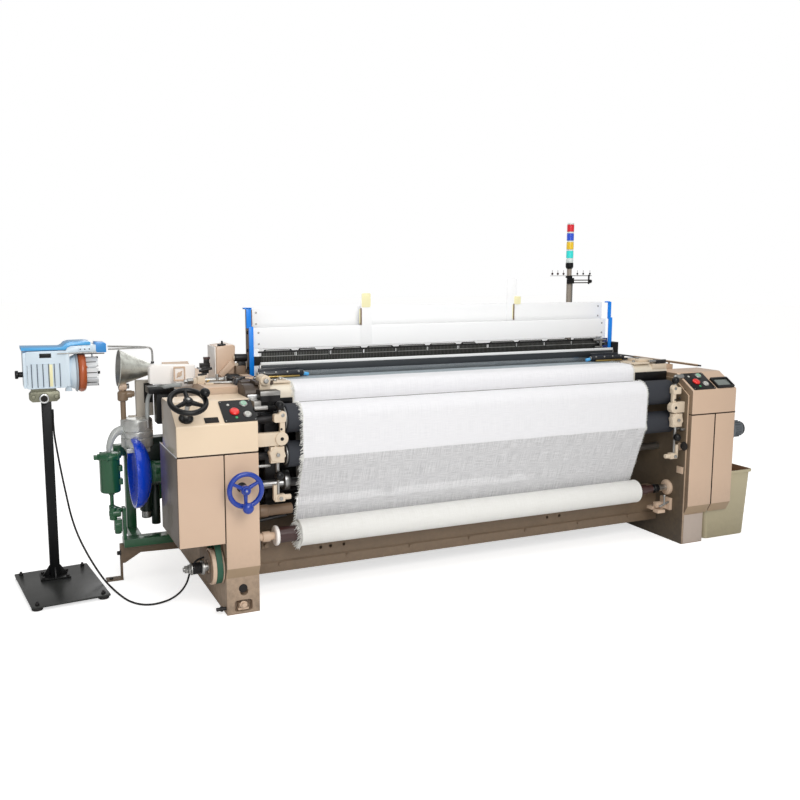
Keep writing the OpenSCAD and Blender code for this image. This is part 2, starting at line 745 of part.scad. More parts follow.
// Warp beam and back rest
module warp_beam() color("#d9d9d4") placed() {
    bar_x(warp_axis, warp_shaft_r, -half_in - 30, half_in + 30);
    bar_x(warp_axis, warp_r, -cloth_w / 2 - 20, cloth_w / 2 + 20);
    for (x = [-cloth_w / 2 - 36, cloth_w / 2 + 20]) bar_x(warp_axis, beam_flange_r, x, x + 16);
}

module back_rest_roller() color(steel) placed() {
    bar_x(rest_axis, rest_r, -half_in + 40, half_in - 40);
    bar_x(rest_axis, journal_r, -half_in - 30, half_in + 30);
}

// Main drive: crank shaft across the loom, with a belt pulley at each end.
module pulley(axis, r, x0, w) {
    bar_x(axis, r, x0, x0 + w);
    for (x = [x0 - 6, x0 + w]) bar_x(axis, r + 8, x, x + 6);
}
crank_pulley_r = 104;
crank_pulley_x = half_out + 24;
motor_pulley_r = 42;
belt_w = 44;
let_off_r = 80;
let_off_x = -half_out - 42;
let_off_w = 30;
top_let_off_r = 58;
module crank_shaft() color(steel) placed() {
    bar_x(crank_axis, crank_r, -half_out - 62, half_out + 90);
    pulley(crank_axis, crank_pulley_r, crank_pulley_x, belt_w);
    pulley(crank_axis, top_let_off_r, let_off_x, let_off_w);
    for (x = sword_xs) bar_x([crank_axis[0], crank_axis[1] + 14], 52, x - 14, x + 14);
}

motor_x0 = crank_pulley_x + belt_w + 22;
motor_x1 = 1700;
module drive_motor() color("#5b6268") placed() {
    difference() {
        union() {
            bar_x(motor_axis, 70, motor_x0, motor_x1);
            for (a = [0:20:340]) translate([motor_x0 + 8, motor_axis[0], motor_axis[1]]) rotate([a, 0, 0])
                block([0, -2, 66], [motor_x1 - motor_x0 - 16, 2, 74]);
            bar_x(motor_axis, 44, motor_x1 - 4, 1788);
            bar_x(motor_axis, 36, 1786, 1803);
            block([motor_x0, motor_axis[0] - 34, motor_axis[1] - 96],
                  [motor_x1, motor_axis[0] + 34, motor_axis[1] - 60]);
            for (z = [motor_axis[1] - 96, motor_axis[1] + 66])
                block([half_out, motor_axis[0] + 40, z], [motor_x0 + 14, motor_axis[0] + 60, z + 26]);
            block([motor_x0, motor_axis[0] - 34, motor_axis[1] - 96],
                  [motor_x0 + 14, motor_axis[0] + 60, motor_axis[1] + 92]);
        }
        bar_x(motor_axis, 14 + run, motor_x0 - 1, motor_x0 + 60);
    }
}

module motor_pulley() color(steel) placed() {
    pulley(motor_axis, motor_pulley_r, crank_pulley_x, belt_w);
    bar_x(motor_axis, 14, crank_pulley_x, motor_x0 + 50);
}

// A belt is a flat loop round two pulleys, clear of both by slip.
module belt(a, ra, b, rb, x0, w) difference() {
    hull() { bar_x(a, ra + 6, x0, x0 + w); bar_x(b, rb + 6, x0, x0 + w); }
    hull() { bar_x(a, ra + slip, x0 - 1, x0 + w + 1); bar_x(b, rb + slip, x0 - 1, x0 + w + 1); }
}
module drive_belts() color(green) placed() {
    belt(crank_axis, crank_pulley_r, motor_axis, motor_pulley_r, crank_pulley_x + 1, belt_w - 2);
    belt(crank_axis, top_let_off_r, let_off_axis, let_off_r, let_off_x + 1, let_off_w - 2);
}

// Let-off pulley with its spring-loaded flange, low on the left of the frame.
module let_off_pulley() color(tan_paint) placed() {
    bar_x(let_off_axis, journal_r, -half_out - 100, -half_out + 60);
    bar_x(let_off_axis, 11, -half_out - 186, -half_out - 90);
    bar_x(let_off_axis, let_off_r, let_off_x, let_off_x + let_off_w);
    bar_x(let_off_axis, let_off_r + 7, let_off_x + let_off_w, let_off_x + let_off_w + 5);
    translate([let_off_x, let_off_axis[0], let_off_axis[1]]) rotate([0, -90, 0]) rotate_extrude() polygon([
        [0, 0], [let_off_r + 7, 0], [let_off_r + 7, 8], [let_off_r - 14, 30], [34, 42], [0, 42],
    ]);
    for (i = [0:5]) translate([-half_out - 96 - i * 13, let_off_axis[0], let_off_axis[1]])
        rotate([0, -90, 0]) rotate_extrude() translate([21, 0]) circle(5, $fn = 20);
    bar_x(let_off_axis, 16, -half_out - 100, -half_out - 92);
    bar_x(let_off_axis, 20, -half_out - 178, -half_out - 166);
    for (i = [0:5]) bar_x(let_off_axis, 17, -half_out - 99 - i * 13, -half_out - 95 - i * 13);
}

// Pump
module pump_stand() color(green) placed() {
    y0 = pump_axis[0] - post_depth / 2;
    difference() {
        union() {
            block([post_x, y0, pump_floor_z], [post_x + post_w, y0 + post_depth, pump_top_z]);
            block([post_x, y0, pump_floor_z], [-half_out, y0 + post_depth, pump_floor_z + 42]);
            bar_x(pump_axis, 58, post_x, post_x + post_w);
            block([post_x - 14, y0 + 12, pump_floor_z + 66], [post_x + 1, y0 + post_depth - 12, 430]);
        }
        bar_x(pump_axis, journal_r + run, post_x - 20, post_x + post_w + 1);
    }
    translate([post_x - 8, pump_axis[0], 372]) rotate([0, -90, 0]) cylinder(r = 22, h = 42);
    translate([post_x - 46, pump_axis[0], 340]) cylinder(r = 17, h = 62);
}

module pump_bracket() color(tan_dark) placed() {
    slab_y(pump_axis[0] + 20, pump_axis[0] + 60) polygon([
        [post_x - 6, pump_floor_z], [-half_out, pump_floor_z], [-half_out, pump_floor_z - 60],
        [post_x + 90, pump_floor_z - 52], [post_x + 8, pump_floor_z - 100], [post_x - 6, pump_floor_z - 100],
    ]);
    block([post_x - 14, pump_axis[0] + 20, 0], [post_x - 4, pump_axis[0] + 60, pump_floor_z]);
    block([post_x - 90, pump_axis[0] + 10, 0], [post_x - 4, pump_axis[0] + 70, 8]);
}

// A flat outline in X and Z, extruded along Y.
module slab_y(y0, y1) translate([0, y1, 0]) rotate([90, 0, 0]) linear_extrude(y1 - y0) children();

module pump_body() color(steel) placed() {
    x = -1760;
    y = 780;
    block([post_x, pump_axis[0] - post_depth / 2, pump_top_z], [x + 60, y + 30, pump_top_z + 24]);
    translate([x, y, pump_top_z + 22]) cylinder(r = 50, h = 20);
    translate([x, y, 790]) cylinder(r = 57, h = 62);
    translate([x, y, 850]) cylinder(r = 48, h = 14);
    translate([x - 42, y, 850]) cylinder(r = 14, h = 114);
    translate([x - 42, y, 958]) cylinder(r = 26, h = 46);
    block([x + 30, y + 20, 860], [x + 100, y + 62, 1036]);
    block([x - 10, y + 20, 790], [x + 60, y + 62, 862]);
    translate([x + 74, y, pump_top_z + 20]) cylinder(r = 13, h = 40);
    block([x + 20, y - 24, pump_top_z + 8], [x + 88, y + 24, pump_top_z + 34]);
}

module water_tank() color(green) placed() translate([post_x - tank_r - lid_lip - slip, tank_y, tank_z]) {
    rotate_extrude() polygon([
        [0, 0], [tank_r - 3, 0], [tank_r, 8], [tank_r, tank_h - 30], [tank_r + lid_lip, tank_h - 30],
        [tank_r + lid_lip, tank_h - 14], [tank_r + 2, tank_h - 4], [30, tank_h], [0, tank_h],
    ]);
    translate([4, 0, -82]) cylinder(r = 10, h = 84);
    block([tank_r - 12, -30, 40], [tank_r + lid_lip + slip, 10, 70]);
    block([tank_r - 12, -30, 110], [tank_r + lid_lip + slip, 10, 140]);
}

// Smooth curve through hand-set points, for hoses and the cable.
function spline(p, n) = [
    for (i = [0:len(p) - 2]) let (
        a = p[max(i - 1, 0)], b = p[i], c = p[i + 1], d = p[min(i + 2, len(p) - 1)]
    ) for (k = [0:n - 1]) let (t = k / n)
        0.5 * (2 * b + (c - a) * t + (2 * a - 5 * b + 4 * c - d) * t * t
            + (3 * b - a - 3 * c + d) * t * t * t),
    p[len(p) - 1],
];
function unit(v) = v / norm(v);
function path_dir(p, i) = unit(p[min(i + 1, len(p) - 1)] - p[max(i - 1, 0)]);
function side_of(d) = unit(cross(d, abs(d[2]) > 0.9 ? [0, 1, 0] : [0, 0, 1]));
module tube(p, r, sides) {
    n = len(p);
    frames = [for (i = 0, u = side_of(path_dir(p, 0)); i < n; i = i + 1,
        u = i < n ? unit(u - path_dir(p, i) * (u * path_dir(p, i))) : u) u];
    points = [for (i = [0:n - 1]) let (d = path_dir(p, i), u = frames[i], w = cross(d, u))
        for (k = [0:sides - 1]) p[i] + r * (cos(360 * k / sides) * u + sin(360 * k / sides) * w)];
    faces = concat(
        [[for (k = [0:sides - 1]) k]],
        [for (i = [0:n - 2], k = [0:sides - 1]) let (m = (k + 1) % sides)
            [i * sides + k, (i + 1) * sides + k, (i + 1) * sides + m, i * sides + m]],
        [[for (k = [sides - 1:-1:0]) (n - 1) * sides + k]]
    );
    polyhedron(points, faces);
}

tank_hose = [[-1899, 742, 690.8], [-1899, 742, 736], [-1880, 754, 788], [-1850, 774, 811], [-1817.5, 776, 812]];
jet_hose = [[-1686, 780, 820.5], [-1686, 780, 880], [-1674, 772, 980], [-1624, 738, 1048], [-1556, 684, 1094],
            [-1500, 654, 1104], [-1466.6, 652, 1104]];
module pump_hoses() color("#8d9190") placed() {
    tube(spline(tank_hose, 6), 14, 12);
    tube(spline(jet_hose, 5), 9, 10);
}

module pump_flywheel() color(blue) placed() {
    translate([flywheel_x, pump_axis[0], pump_axis[1]]) rotate([0, 90, 0]) difference() {
        rotate_extrude($fn = 96) polygon([
            [0, 4], [40, 4], [52, 10], [120, 24], [150, 20], [flywheel_r - 20, 2], [flywheel_r - 16, -8],
            [flywheel_r, -8], [flywheel_r, 16], [flywheel_r - 12, 34], [120, 62], [60, 70], [40, 84], [0, 84],
        ]);
        translate([0, 0, -30]) cylinder(r = journal_r - 2, h = 140);
    }
    bar_x(pump_axis, journal_r, post_x, -half_out + 60);
}

// Weft feeder
module feeder_turned() translate([base_x, base_y, 0]) rotate([0, 0, stand_turn]) children();
module feeder_stand() color(black) placed() {
    feeder_turned() difference() {
        translate([-base_w / 2, -base_l / 2, base_foot_h]) linear_extrude(base_t) round_rect(base_w, base_l, 8);
        for (x = [-1, 1], y = [-1, 1]) translate([x * (base_w / 2 - 30), y * (base_l / 2 - 30), 0])
            cylinder(r = 6, h = 60, $fn = 24);
    }
    feeder_turned() for (x = [-1, 1], y = [-1, 1])
        translate([x * (base_w / 2 - 30), y * (base_l / 2 - 30), 0]) {
            cylinder(r = 24, h = base_foot_h);
            cylinder(r = 6, h = base_foot_h + base_t + 18, $fn = 24);
            translate([0, 0, base_foot_h + base_t]) cylinder(r = 10, h = 8, $fn = 6);
        }
    plate_z = base_foot_h + base_t;
    translate([feeder_x, feeder_y, plate_z]) {
        translate([-pole_w / 2, -pole_w / 2, 0]) cube([pole_w, pole_w, pole_top - plate_z - 40]);
        translate([-75, -60, 0]) cube([150, 120, 8]);
        for (a = [0, 180]) rotate([0, 0, a]) translate([0, 4, 0]) rotate([90, 0, 0]) linear_extrude(8)
            polygon([[pole_w / 2 - 1, 6], [pole_w / 2 + 38, 6], [pole_w / 2 - 1, 62]]);
        for (x = [-60, 60], y = [-46, 46]) translate([x, y, 6]) cylinder(r = 9, h = 9, $fn = 6);
    }
    translate([feeder_x, feeder_y, 0]) {
        block([-78, -34, pole_top - 46], [62, 34, pole_top]);
        block([-70, -28, pole_top - 2], [50, 28, pole_top + 50]);
        translate([-12, -60, pole_top - 16]) rotate([-90, 0, 0]) cylinder(r = 18, h = 30, $fn = 32);
        translate([-pole_w / 2 + 4, -12, 876]) cube([pole_w + 6, 24, 40]);
    }
}

body_x0 = feeder_x - 104;
body_x1 = feeder_x + 100;
module feeder_body() color("#b9c3cf") placed() difference() {
    union() {
        translate([body_x0, feeder_y - 78, pole_top + 50]) cube([body_x1 - body_x0, 156, 190]);
        for (i = [0:8]) translate([body_x0 + 44 + i * 15, feeder_y - 83, pole_top + 62])
            cube([6, 6, 110]);
        bar_x([feeder_y, 1110], 20, body_x0 - 38, body_x0 + 1);
        translate([body_x1 - 2, feeder_y, feeder_z]) rotate([0, 90, 0]) rotate_extrude() polygon([
            [0, 0], [62, 0], [78, 30], [88, 50], [88, 56], [0, 56],
        ]);
    }
    bar_x([feeder_y, feeder_z], 12 + run, body_x1 + 20, body_x1 + 80);
}

module feeder_lid() color("#2f78c8") placed() {
    top = pole_top + 240;
    block([body_x0 - 4, feeder_y - 82, top], [body_x1 + 4, feeder_y + 82, top + 12]);
    block([body_x1 - 20, feeder_y - 34, top + 6], [body_x1 + 212, feeder_y + 34, top + 32]);
    block([body_x1 + 158, feeder_y - 40, top - 26], [body_x1 + 212, feeder_y + 40, top + 36]);
}

ring_x = body_x1 + 56 + 2;
module feeder_ring() color("#c8623a") placed() {
    translate([ring_x, feeder_y, feeder_z]) rotate([0, 90, 0]) rotate_extrude() polygon([
        [0, 0], [88, 0], [103, 10], [104, 22], [98, 38], [84, 40], [84, 12], [0, 12],
    ]);
    bar_x([feeder_y, feeder_z], 12, body_x1 + 24, ring_x + 2);
}

drum_x = ring_x + 12 + slip;
module feeder_drum() color("#d5d7d8") placed() {
    fingers = 8;
    bar_x([feeder_y, feeder_z], 34, drum_x, drum_x + 70);
    bar_x([feeder_y, feeder_z], 72, drum_x + 40, drum_x + 50);
    for (i = [0:fingers - 1]) translate([0, feeder_y, feeder_z]) rotate([i * 360 / fingers + 12, 0, 0])
        block([drum_x + 6, -11, 56], [drum_x + 92, 11, 76]);
    for (i = [0:fingers - 1]) translate([0, feeder_y, feeder_z]) rotate([i * 360 / fingers + 12, 0, 0])
        block([drum_x + 38, -8, 28], [drum_x + 52, 8, 60]);
    block([drum_x + 62, feeder_y - 12, feeder_z + 20], [drum_x + 68, feeder_y + 12, 1199.7]);
}

rod_z = 1226;
rod_r = 5;
module yarn_guide_rods() color(steel) placed() {
    x0 = body_x1 + 212 + 1;
    x1 = cone_x + cone_l + 6;
    tube(spline([[x0, feeder_y - 20, rod_z + 8], [(x0 + x1) / 2, (feeder_y + cone_y) / 2 - 10, rod_z + 5],
        [x1 - 30, cone_y + 1, rod_z + 1], [x1 - 8, cone_y, rod_z - 6], [x1, cone_y, rod_z - 28],
        [x1, cone_y, 1140.6]], 4), rod_r, 12);
    tube([[x0, feeder_y - 32, rod_z - 6], [x1 - 34, cone_y - 2, rod_z - 1]], rod_r - 1, 12);
}

// Hollow balloon cone, open at both ends.
module yarn_cone() color(steel) placed() {
    translate([cone_x, cone_y, 1123]) rotate([0, 90 + cone_tilt, 0]) difference() {
        union() {
            cylinder(r1 = 93, r2 = 27, h = cone_l, $fn = 96);
            translate([0, 0, -4]) cylinder(r = 95, h = 6, $fn = 96);
            translate([0, 0, cone_l - 2]) cylinder(r = 29, h = 10, $fn = 96);
        }
        translate([0, 0, -5]) cylinder(r1 = 92, r2 = 23, h = cone_l + 14, $fn = 96);
    }
    translate([-1802, cone_y, 1004]) cylinder(r = 12, h = 30, $fn = 32);
}

// Signal tower with the yarn rack on its post
module signal_post() color(tan_paint) placed() {
    translate([tower_x - 45, tower_y - 40, frame_h]) cube([90, 80, 10]);
    translate([tower_x, tower_y, frame_h + 8]) cylinder(r = 17, h = tower_top - frame_h - 8);
    translate([tower_x + 24, tower_y, frame_h + 8]) cylinder(r = 6, h = 500, $fn = 24);
    for (z = [1538, 1556]) translate([tower_x - 170, tower_y - 22, z]) rotate([0, 90, 0])
        cylinder(r = 4, h = 346, $fn = 24);
    translate([tower_x - 170, tower_y - 22, 1587]) rotate([0, 90, 0]) cylinder(r = 2.5, h = 346, $fn = 16);
    for (x = [-166, 160]) translate([tower_x + x, tower_y - 24, 1530]) cube([5, 4, 64]);
    block([tower_x - 24, tower_y - 27, 1530], [tower_x + 24, tower_y, 1594]);
    for (x = [-158, -112, -64, 54, 104, 162]) translate([tower_x + x, tower_y - 22, 1585]) {
        cylinder(r = 2.5, h = 40, $fn = 16);
        translate([0, 0, 16]) sphere(r = 8, $fn = 24);
    }
}

module signal_lamps() color("#e8e8e8") placed() translate([tower_x, tower_y, tower_top]) rotate_extrude() polygon(concat(
    [[0, 0], [20, 0], [27, 12], [27, 40], [lamp_r, 42], [lamp_r, 74], [lamp_r - 3, 76]],
    [for (i = [0:3]) each [[lamp_r - 3, 78 + i * lens_h], [lamp_r, 80 + i * lens_h],
        [lamp_r, 74 + (i + 1) * lens_h], [lamp_r - 3, 76 + (i + 1) * lens_h]]],
    [[0, 76 + 4 * lens_h]]
));

// Waste bin on the floor at the right
module bin_outer(inset) hull() {
    for (x = [bin_x0 + bin_taper + 22, bin_x1 - bin_taper - 22], y = [bin_y + 28, bin_y + bin_d - 42])
        translate([x, y, inset]) cylinder(r = 22 - inset, h = 1, $fn = 32);
    for (x = [bin_x0 + 24, bin_x1 - 24], y = [bin_y + 18, bin_y + bin_d - 24])
        translate([x, y, bin_h - 1 + (inset > 0 ? 1 : 0)]) cylinder(r = 24 - inset, h = 1, $fn = 32);
}
module waste_bin() color("#b9ad84") placed() difference() {
    union() {
        bin_outer(0);
        translate([bin_x0 - 10, bin_y - 14, bin_h - 16]) linear_extrude(16)
            round_rect(bin_x1 - bin_x0 + 20, bin_d + 22, 26);
    }
    bin_outer(bin_wall);
}

module feeder_cable() color(black) placed() tube(spline(cable_pts, 4), cable_r, 8);

// Nozzle unit on top of the left frame
module nozzle_unit() color(tan_paint) placed() {
    x = -half_out + 10;
    translate([x - 10, 560, frame_h]) cube([150, 130, 186]);
    translate([x - 40, 640, frame_h]) cube([60, 60, 20]);
    translate([x - 84, 600, frame_h + 60]) rotate([0, 90, 0]) cylinder(r = 9, h = 100);
    translate([x - 60, 600, frame_h + 20]) cylinder(r = 11, h = 100);
    translate([x - 60, 600, frame_h + 118]) sphere(r = 16);
    block([x - 72, 560, frame_h + 10], [x + 2, 690, frame_h + 22]);
}

left_side_frame();
right_side_frame();
front_girder();
rear_girder();
breast_beam();
left_front_cover();
left_leg_cover();
left_panel_cap();
right_leg_cover();
right_outer_cover();
right_panel_cap();
control_plates();
display_unit();
take_up_brackets();
cloth_sheet();
warp_sheet();
temples();
heald_guides();
pump_stand();
pump_bracket();
pump_body();
water_tank();
pump_hoses();
drive_motor();
motor_pulley();
drive_belts();
feeder_stand();
feeder_body();
feeder_lid();
feeder_drum();
feeder_ring();
yarn_guide_rods();
yarn_cone();
signal_post();
signal_lamps();
waste_bin();
feeder_cable();
nozzle_unit();
take_up_roller();
guide_roller();
cloth_roller();
wound_cloth();
take_up_handwheel();
top_handwheel();
top_handwheel_knob();
sley();
reed();
front_heald_frame();
rear_heald_frame();
warp_beam();
back_rest_roller();
crank_shaft();
let_off_pulley();
pump_flywheel();
left_stop_button();
left_start_button();
left_inch_button();
right_stop_button();
right_start_button();
right_inch_button();
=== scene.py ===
"""Water-jet power loom with its weft feeder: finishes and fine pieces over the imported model."""
import json
import math

import bmesh
import bpy
from mathutils import Matrix, Vector, noise
from mathutils.geometry import tessellate_polygon


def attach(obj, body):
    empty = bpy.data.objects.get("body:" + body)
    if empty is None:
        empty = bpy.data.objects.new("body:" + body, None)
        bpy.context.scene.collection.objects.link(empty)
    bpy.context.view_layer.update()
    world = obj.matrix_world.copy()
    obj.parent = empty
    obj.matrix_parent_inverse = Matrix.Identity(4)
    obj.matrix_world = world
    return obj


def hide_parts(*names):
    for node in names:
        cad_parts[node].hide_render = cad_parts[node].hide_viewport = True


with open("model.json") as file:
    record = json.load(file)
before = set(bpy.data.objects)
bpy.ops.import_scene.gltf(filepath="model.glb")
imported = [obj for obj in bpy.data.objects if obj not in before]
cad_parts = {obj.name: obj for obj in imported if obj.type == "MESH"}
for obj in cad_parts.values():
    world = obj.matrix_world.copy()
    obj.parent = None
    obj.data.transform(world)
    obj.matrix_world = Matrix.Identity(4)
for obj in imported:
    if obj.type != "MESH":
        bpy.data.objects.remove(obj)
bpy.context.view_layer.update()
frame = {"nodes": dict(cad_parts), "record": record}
nodes = frame["nodes"]
scene = bpy.context.scene
slot_of = {row["node"]: row["material_slot"] for row in frame["record"]["subparts"]}
body_of = {n: b for b, ns in frame["record"]["behaviour"]["bodies"].items() for n in ns}

# The loom's own axes, in millimetres: x = 0 at its middle, y = 0 at the front of its legs.
LOOM_X, LOOM_Y = 253.327, -729.512
HALF_IN = 1306.0
TAKE_UP, GUIDE, ROLL = (135.0, 912.0, 72.0), (130.0, 733.0, 65.0), (140.0, 322.0, 67.0)
CLOTH_W = 2112.0
LEFT_CAP, RIGHT_CAP = (-1689, -1306.5), (1314, 1651)  # the panel caps' sides
COVER_FRONT, COVER_SEAM = -30, 790
HEALD_HALF = 1147.4
REED_HALF = 1135.0
PUMP_Y, PUMP_Z = 700, 574
CONE_X, CONE_Y, CONE_LENGTH = -1817, 780, 168
JET_Y = 540
SAME_POINT = 2e-6  # metres below which two points count as one
SHEET_LIE = 1.9  # how far the middle of a web lies off its roller
SHADED_LENGTH = 0.112  # metres of the web that lie in the reed's shade
PANEL_ANGLE = math.atan2(91, 145)
PANEL_Y, PANEL_Z = -30.0, 933.0


def at(x, y, z):
    """A point given on the loom's axes in millimetres, in the model's metres."""
    return Vector(((x + LOOM_X) / 1000, (y + LOOM_Y) / 1000, z / 1000))


def on_panel(x, s, lift=0.0):
    """A point on the sloped control panel: s runs up the slope, lift out of it."""
    c, d = math.cos(PANEL_ANGLE), math.sin(PANEL_ANGLE)
    return (x, PANEL_Y + s * c - lift * d, PANEL_Z + s * d + lift * c)


def hand(side):
    return "left" if side < 0 else "right"


def faces_of_rings(count, sides):
    """The faces over rings of points that lie one after the other, closed at both ends."""
    faces = [tuple(reversed(range(sides)))]
    for i in range(count - 1):
        for k in range(sides):
            m = (k + 1) % sides
            faces.append((i * sides + k, i * sides + m, (i + 1) * sides + m, (i + 1) * sides + k))
    return faces + [tuple(range((count - 1) * sides, count * sides))]


def round_the(y, z, radius, degrees):
    """The y and z of a point on a circle about (y, z)."""
    a = math.radians(degrees)
    return y + radius * math.cos(a), z + radius * math.sin(a)


PANEL_NORMAL = Vector((0, -math.sin(PANEL_ANGLE), math.cos(PANEL_ANGLE)))
PANEL_UP = Vector((0, math.cos(PANEL_ANGLE), math.sin(PANEL_ANGLE)))
ALONG_X, ALONG_Y, UP = Vector((1, 0, 0)), Vector((0, 1, 0)), Vector((0, 0, 1))
TO_FRONT, TO_LEFT = (0, -1, 0), (-1, 0, 0)


# Camera and light
# The camera as the photo's parallel edges give it: lens in mm, degrees of yaw, of looking down and of roll.
CAMERA_PLACE, CAMERA_LENS, CAMERA_SHIFT = (-2465.5, -4053.8, 1650), 40.612, (0.0178, -0.0040)
CAMERA_YAW, CAMERA_DIP, CAMERA_ROLL = -24.2243, 8.2206, 0.111
SENSOR_WIDTH, FAR_CLIP = 36, 60
GLOW, GLOW_COLOUR, WHITE = 0.42, (1.0, 0.99, 0.975, 1), (1, 1, 1, 1)


def new_object(name, data, *finishes):
    """An object at the origin, in the scene, with its finishes."""
    made = bpy.data.objects.new(name, data)
    scene.collection.objects.link(made)
    for finish in finishes:
        data.materials.append(finish)
    return made


def set_camera():
    data = bpy.data.cameras.new("Camera")
    data.sensor_width, data.lens, data.clip_end = SENSOR_WIDTH, CAMERA_LENS, FAR_CLIP
    data.shift_x, data.shift_y = CAMERA_SHIFT
    camera = new_object("Camera", data)
    camera.location = at(*CAMERA_PLACE)
    turn = Matrix.Identity(4)
    for degrees, axis in ((CAMERA_YAW, "Z"), (90 - CAMERA_DIP, "X"), (CAMERA_ROLL, "Z")):
        turn = turn @ Matrix.Rotation(math.radians(degrees), 4, axis)
    camera.rotation_euler = turn.to_euler()
    scene.camera = camera


def add_lamp(name, place, aim, size, power, colour=(1, 1, 1)):
    data = bpy.data.lights.new(name, "AREA")
    data.shape, data.size, data.energy, data.color = "SQUARE", size, power, colour
    lamp = new_object(name, data)
    lamp.location = place
    lamp.rotation_euler = (Vector(aim) - Vector(place)).to_track_quat("-Z", "Y").to_euler()


class Graph:
    """A node tree written as calls. An input takes a value or an output; add returns the outputs."""

    def __init__(self, tree):
        self.tree = tree

    def add(self, kind, inputs=None, **settings):
        made = self.tree.nodes.new(kind)
        for key, value in settings.items():
            setattr(made, key, value)
        self.feed(made, inputs or {})
        return made.outputs

    def feed(self, made, inputs):
        for key, value in inputs.items():
            if isinstance(value, bpy.types.NodeSocket):
                self.tree.links.new(value, made.inputs[key])
            else:
                made.inputs[key].default_value = value

    def maths(self, operation, *values, **settings):
        return self.add("ShaderNodeMath", dict(enumerate(values)), operation=operation, **settings)[0]

    def vector(self, operation, inputs):
        return self.add("ShaderNodeVectorMath", inputs, operation=operation)[0]

    def noise(self, place, scale, detail, rough=0.5):
        return self.add("ShaderNodeTexNoise", {"Vector": place, "Scale": scale, "Detail": detail,
                                               "Roughness": rough})["Fac"]

    def to_range(self, value, start, stop, first=0.0, last=1.0):
        return self.add("ShaderNodeMapRange", {"Value": value, "From Min": start, "From Max": stop,
                                               "To Min": first, "To Max": last})[0]

    def blend(self, share, one, other):
        return self.add("ShaderNodeMix", {"Factor": share, "A": one, "B": other}, data_type="RGBA")["Result"]

    def copies(self, points, shape, **inputs):
        put = self.add("GeometryNodeInstanceOnPoints", {"Points": points, "Instance": shape, **inputs})
        return self.add("GeometryNodeRealizeInstances", {"Geometry": put["Instances"]})["Geometry"]

    def hand_over(self, shape, finish, end):
        """Gives the shape its finish and sends it to the tree's end."""
        painted_shape = self.add("GeometryNodeSetMaterial", {"Geometry": shape, "Material": finish})
        self.feed(end, {"Geometry": painted_shape["Geometry"]})
        return self.tree


def set_world():
    """White where the camera looks, and a softer glow for everything else."""
    world = bpy.data.worlds.new("Studio")
    scene.world = world
    world.use_nodes = True
    world.node_tree.nodes.clear()
    graph = Graph(world.node_tree)
    seen = graph.add("ShaderNodeBackground", {"Color": WHITE, "Strength": 1.0})[0]
    glow = graph.add("ShaderNodeBackground", {"Color": GLOW_COLOUR, "Strength": GLOW})[0]
    path = graph.add("ShaderNodeLightPath")
    direct = graph.maths("MAXIMUM", path["Is Camera Ray"], path["Is Transmission Ray"])
    mix = graph.add("ShaderNodeMixShader", {"Fac": direct, 1: glow, 2: seen})[0]
    graph.add("ShaderNodeOutputWorld", {"Surface": mix})


scene.view_settings.view_transform = "Standard"
set_camera()
set_world()
add_lamp("Key", (-0.7, -5.6, 3.8), (-0.5, -0.4, 0.8), 2.8, 150, (1.0, 0.985, 0.96))
add_lamp("Top", (0.2, -0.6, 4.6), (0.1, 0.0, 0.6), 4.5, 62)
add_lamp("Front fill", (-2.2, -6.0, 2.2), (-1.0, -0.2, 0.8), 2.5, 26, (0.97, 0.98, 1.0))
add_lamp("Rear", (0.5, 4.5, 3.4), (0, 0.4, 0.8), 3.5, 50)


# Shader groups
COLOUR, NUMBER, VECTOR, COUNT = "NodeSocketColor", "NodeSocketFloat", "NodeSocketVector", "NodeSocketInt"
SHAPE, FINISH = "NodeSocketGeometry", "NodeSocketMaterial"
DIRT_AND_SHADE_COLOUR, TARNISH_AND_REFLECTION_COLOUR = (0.06, 0.05, 0.04, 1), (0.16, 0.13, 0.10, 1)


def linear(*rgb):
    """sRGB 0 to 255 as the linear colour that a shader takes."""
    shares = [v / 255 for v in rgb]
    return (*(v / 12.92 if v <= 0.04045 else ((v + 0.055) / 1.055) ** 2.4 for v in shares), 1.0)


def new_group(kind, name, inputs, outputs):
    tree = bpy.data.node_groups.new(name, kind)
    for label, socket_kind, *value in inputs:
        socket = tree.interface.new_socket(label, in_out="INPUT", socket_type=socket_kind)
        if value:
            socket.default_value = value[0]
    for label, socket_kind in outputs:
        tree.interface.new_socket(label, in_out="OUTPUT", socket_type=socket_kind)
    return Graph(tree), tree.nodes.new("NodeGroupInput").outputs, tree.nodes.new("NodeGroupOutput")


